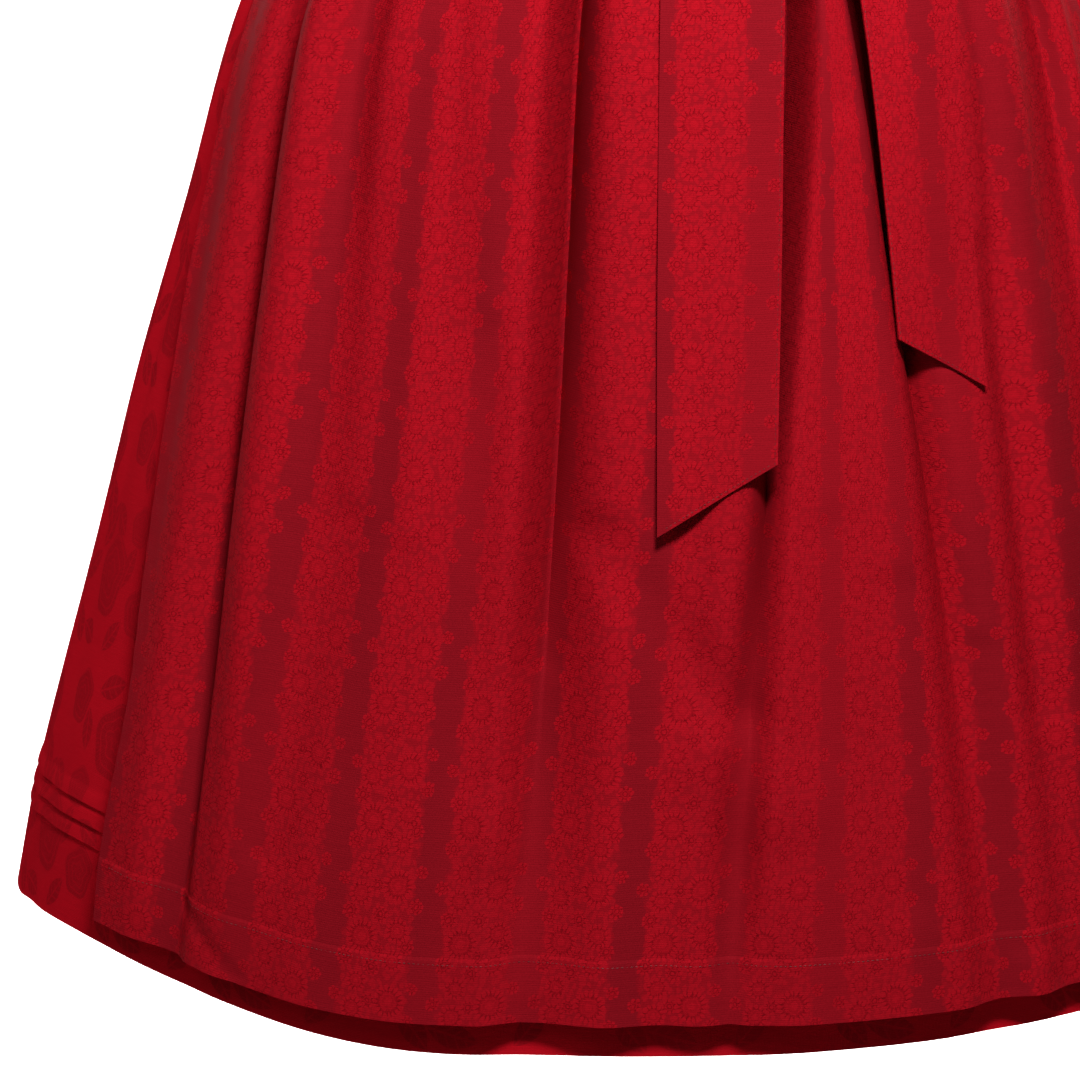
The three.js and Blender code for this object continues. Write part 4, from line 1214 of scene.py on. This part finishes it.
# The apron's repeat is 55 mm wide and 60 mm high. Its flowers keep inside a column, whose
# edge is the flowers' own outline.
DAISY_REPEAT = (55.0, 60.0)
DAISIES = table(
    "x y radius",
    (-8.6, 13.4, 9.6),
    (9.4, -14.6, 9.3),
    (11.2, 8.6, 7.2),
    (-11.0, -8.8, 7.0),
    (-9.6, -23.4, 6.2),
    (9.8, 24.2, 6.1),
    (0.8, 0.8, 4.9),
    (-2.2, -14.0, 4.2),
    (1.2, 19.8, 4.0),
    (-1.6, 28.4, 4.8),
    (20.4, -4.6, 4.0),
    (16.4, 16.4, 4.6),
    (21.6, -22.4, 3.5),
    (-16.2, 1.2, 4.8),
    (-21.4, -15.0, 3.7),
    (-17.0, 24.6, 5.0),
)
SPRIG_SIZE = (3.1, 4.3)
COLUMN_HALF = 18.6


def daisy_columns(place):
    """The apron's weave: upright columns of daisies and small leaves on a satin ground."""
    tree = place.tree
    wobble = vector_math(tree, "SCALE", (1.0, -1.0, 0.0))
    plug(tree, wobble.socket.node.inputs["Scale"], (noise(place, (0.3, 0.3), 2.0) - 0.5) * 2.6)
    place = vector_math(tree, "ADD", place, wobble)
    flower, lines = flowers(place, DAISY_REPEAT, DAISIES)
    sprig, middle = sprigs(place, SPRIG_SIZE)
    across = split(middle)[0].math("WRAP", DAISY_REPEAT[0] / 2, -DAISY_REPEAT[0] / 2).size()
    near = across.rises(COLUMN_HALF + 1.5, COLUMN_HALF - 1.5)
    leaf = sprig * near
    gap = (1 - flower) * near
    figure = flower.most(leaf * 0.85).most(near * 0.5)
    return figure, (lines * 0.9).most(gap * (1 - sprig) * 0.14)


ROSE_REPEAT = (118.0, 150.0)
ROSES = table(
    "x y radius",
    (-28.0, 30.0, 24.0),
    (30.0, -34.0, 22.0),
    (20.0, 44.0, 15.0),
    (-24.0, -50.0, 16.0),
    (2.0, -2.0, 12.0),
)
ROSE_LEAVES = table(
    "x y radius slim turn",
    (-52.0, 4.0, 17.0, 0.5, 60),
    (-30.0, -2.0, 15.0, 0.5, -30),
    (-2.0, 22.0, 14.0, 0.48, 70),
    (24.0, 20.0, 13.0, 0.5, -20),
    (48.0, 30.0, 15.0, 0.5, 40),
    (54.0, -8.0, 16.0, 0.48, -60),
    (14.0, -62.0, 15.0, 0.5, 20),
    (-4.0, -34.0, 13.0, 0.5, -75),
    (-46.0, 66.0, 15.0, 0.48, -15),
    (-4.0, 62.0, 13.0, 0.5, 50),
    (50.0, 64.0, 14.0, 0.5, -50),
)


def roses_and_leaves(place):
    """The skirt's weave: full roses among large leaves."""
    spot, radius = nearest(place, ROSE_REPEAT, ROSES, flower_place, how_far)
    x, y, _ = split(spot)
    turn = y.math("ARCTAN2", x)
    rim = radius + (turn * 5).sine() * 0.055 + (turn * 3 + 1.0).sine() * 0.04
    rose = rim.rises(1.0, 0.95)
    winding = (rim * 3.6 + turn * (1 / (2 * math.pi))).math("FRACT")
    spiral = (winding - 0.5).size().rises(0.36, 0.46)
    hatch = (turn * 44).sine().rises(0.2, 0.8) * 0.4
    leaf, veins = leaves(place, ROSE_REPEAT, ROSE_LEAVES, 16.0)
    free = 1 - rose
    return rose.most(leaf * free), (spiral.most(hatch) * rose).most(veins * free)


# Each jacquard's colours, and its finish: how rough it and its figure are, its gloss, the scale
# on which the figure shows more or less, its threads' spacing in mm and how much they show.
APRON_COLOURS = {
    "ground": (0.200, 0.0046, 0.0094),
    "figure": (0.335, 0.0044, 0.0104),
    "line": (0.135, 0.0022, 0.0048),
}
APRON_FINISH = {
    "rough": 0.5, "figure_rough": 0.2, "sheen": 0.003, "specular": 0.2, "ior": 1.12,
    "shot": (0.0075, 0.0035), "weft": 1.15, "warp": 0.8, "hatch": 0.05, "bump": 0.7,
}
SKIRT_COLOURS = {
    "ground": (0.42, 0.0042, 0.0110),
    "figure": (0.285, 0.0042, 0.0092),
    "line": (0.38, 0.0042, 0.0105),
}
SKIRT_FINISH = {
    "rough": 0.6, "figure_rough": 0.1, "sheen": 0.004, "specular": 0.0, "ior": 1.04,
    "shot": (0.006, 0.006), "weft": 0.9, "warp": 0.8, "hatch": 0.04, "bump": 0.6,
}
THREAD_TONES = (linear(80, 5, 12), linear(125, 14, 24))
FLOOR_TONES = ((0.88, 0.88, 0.88), (0.92, 0.92, 0.92))


# ---- the whole garment, camera and light ----


def add(piece, node):
    """Makes a piece ride on the garment's one body, in place of its solid."""
    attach(piece, "root")
    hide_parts(node)


def add_sheet(pair, node):
    """Adds a cloth piece. Gives the piece's grid."""
    piece, grid = pair
    add(piece, node)
    return grid


def sewn_line(name, grid, row_or_column, above, material):
    """A row of stitches along a row or column of a piece's grid, above its surface."""
    away = outward_of(grid)[row_or_column]
    seam = stitches(name, grid[row_or_column] + away * above, away, material)
    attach(seam, "root")


def dress_skirt(cloth):
    for node, start in SKIRT_SEAMS.items():
        add_sheet(skirt_panel(node, start, cloth), node)


def dress_apron(cloth, thread):
    apron = add_sheet(apron_panel(cloth), "apron_panel")
    band = add_sheet(apron_band(cloth), "apron_band")
    hem = APRON_HEM_SHARE - (APRON_HEM_DEPTH - STITCHES["below_hem_edge"]) / SKIRT_DROP
    row = int(np.searchsorted(apron_rows(), hem))
    sewn_line("apron_hem_stitches", apron, row, STITCHES["on_hem"], thread)
    for name, row in (("upper", 2), ("lower", STRIP_ROWS - 3)):
        sewn_line(f"band_{name}_stitches", band, row, 0.0, thread)


def dress_bow(cloth, thread):
    knot, end = KNOT["angle"], TIE["end"]
    for word, ends, over in (("left", (-end, knot - 0.1), 1.0), ("right", (knot + 0.1, end), 0.0)):
        node = f"tie_wrap_{word}"
        add_sheet(tie_wrap(node, ends, over, cloth), node)
    add(bow_knot(cloth), "bow_knot")
    for word, side in (("left", -1), ("right", 1)):
        node = f"bow_loop_{word}"
        add_sheet(bow_loop(node, side, cloth), node)
    long_tail = bow_tail("bow_tail_left", LONG_TAIL, LONG_TAIL_SLANT, 0.6, cloth)
    short_tail = bow_tail("bow_tail_right", SHORT_TAIL, SHORT_TAIL_SLANT, 2.4, cloth)
    long_grid = add_sheet(long_tail, "bow_tail_left")
    short_grid = add_sheet(short_tail, "bow_tail_right")
    for word, grid, column in (("long", long_grid, -2), ("short", short_grid, 1)):
        edge, cut = np.s_[6:, column], np.s_[-2, 1:-1]
        sewn_line(f"{word}_tail_edge_stitches", grid, edge, STITCHES["on_tail"], thread)
        sewn_line(f"{word}_tail_end_stitches", grid, cut, STITCHES["on_cut"], thread)


def dress_bodice(cloth):
    for word, side in (("left", -1), ("right", 1)):
        for place, facing in (("front", -1), ("back", 1)):
            node = f"bodice_{place}_{word}"
            add_sheet(bodice_panel(node, side, facing, cloth), node)
        node = f"bodice_side_{word}"
        add_sheet(bodice_side(node, side, cloth), node)
    add_sheet(placket(cloth), "bodice_placket")
    for number in range(1, BUTTONS["count"] + 1):
        add(covered_button(number, cloth), f"button_{number}")


CAMERA = {"lens": 175.4, "sensor": 36.0, "distance": 3.0, "elevation": 13.0}
CAMERA_TARGET = (-0.068, 0.0, -0.461 + WAIST_Z)


def make_camera():
    data = bpy.data.cameras.new("camera")
    data.lens = CAMERA["lens"]
    data.sensor_width = CAMERA["sensor"]
    data.clip_end = 100
    camera = link("camera", data)
    tilt = math.radians(CAMERA["elevation"])
    x, y, z = CAMERA_TARGET
    away = CAMERA["distance"]
    camera.location = (x, y - away * math.cos(tilt), z + away * math.sin(tilt))
    camera.rotation_euler = (math.pi / 2 - tilt, 0, 0)
    bpy.context.scene.camera = camera


WORLD_LIGHT = 0.035
FLOOR_Z = -1.9
FLOOR_REACH = 30.0
# Each light's name, place, the place it is aimed at, its size, its spread in degrees and watts.
LIGHTS = (
    ("key", (0.20, -1.40, 0.85), (0.0, 0.0, 0.32), 0.40, 180, 70),
    ("fill", (-1.3, -1.4, 0.6), (0.0, 0.0, -0.3), 0.9, 180, 6),
    ("back, right", (2.2, 2.2, 0.9), (0.0, 0.0, -0.6), 1.4, 180, 60),
    ("back, left", (-2.2, 2.4, 0.9), (0.0, 0.0, -0.6), 1.4, 180, 60),
    ("floor behind", (0.0, 7.0, 3.0), (0.0, 7.0, -1.9), 10.5, 30, 1200),
)


def make_lights():
    for name, place, aim, size, opening, watts in LIGHTS:
        data = bpy.data.lights.new(name, "AREA")
        data.energy = watts
        data.size = size
        data.spread = math.radians(opening)
        light = link(name, data)
        light.location = place
        light.rotation_euler = (Vector(aim) - Vector(place)).to_track_quat("-Z", "Y").to_euler()
    world = bpy.data.worlds.new("studio")
    world.use_nodes = True
    background = world.node_tree.nodes["Background"].inputs
    background["Color"].default_value = (1, 1, 1, 1)
    background["Strength"].default_value = WORLD_LIGHT
    bpy.context.scene.world = world


def make_floor():
    mesh = bpy.data.meshes.new("floor")
    corners = ((-1, -1), (1, -1), (1, 1), (-1, 1))
    points = [(x * FLOOR_REACH, y * FLOOR_REACH, FLOOR_Z) for x, y in corners]
    mesh.from_pydata(points, [], [(0, 1, 2, 3)])
    mesh.materials.append(mottled_material("pale floor", (3.0, 3.0), FLOOR_TONES, 0.9))
    floor = link("floor", mesh)


bpy.context.scene.view_settings.view_transform = "Standard"
make_camera()
make_lights()
make_floor()
apron_cloth = cloth_material("apron jacquard", APRON_COLOURS, daisy_columns, APRON_FINISH)
skirt_cloth = cloth_material("skirt jacquard", SKIRT_COLOURS, roses_and_leaves, SKIRT_FINISH)
sewing_thread = mottled_material("sewing thread", (1.4 / MM, 2.0 / MM), THREAD_TONES, 0.6)
dress_skirt(skirt_cloth)
dress_apron(apron_cloth, sewing_thread)
dress_bow(apron_cloth, sewing_thread)
dress_bodice(skirt_cloth)
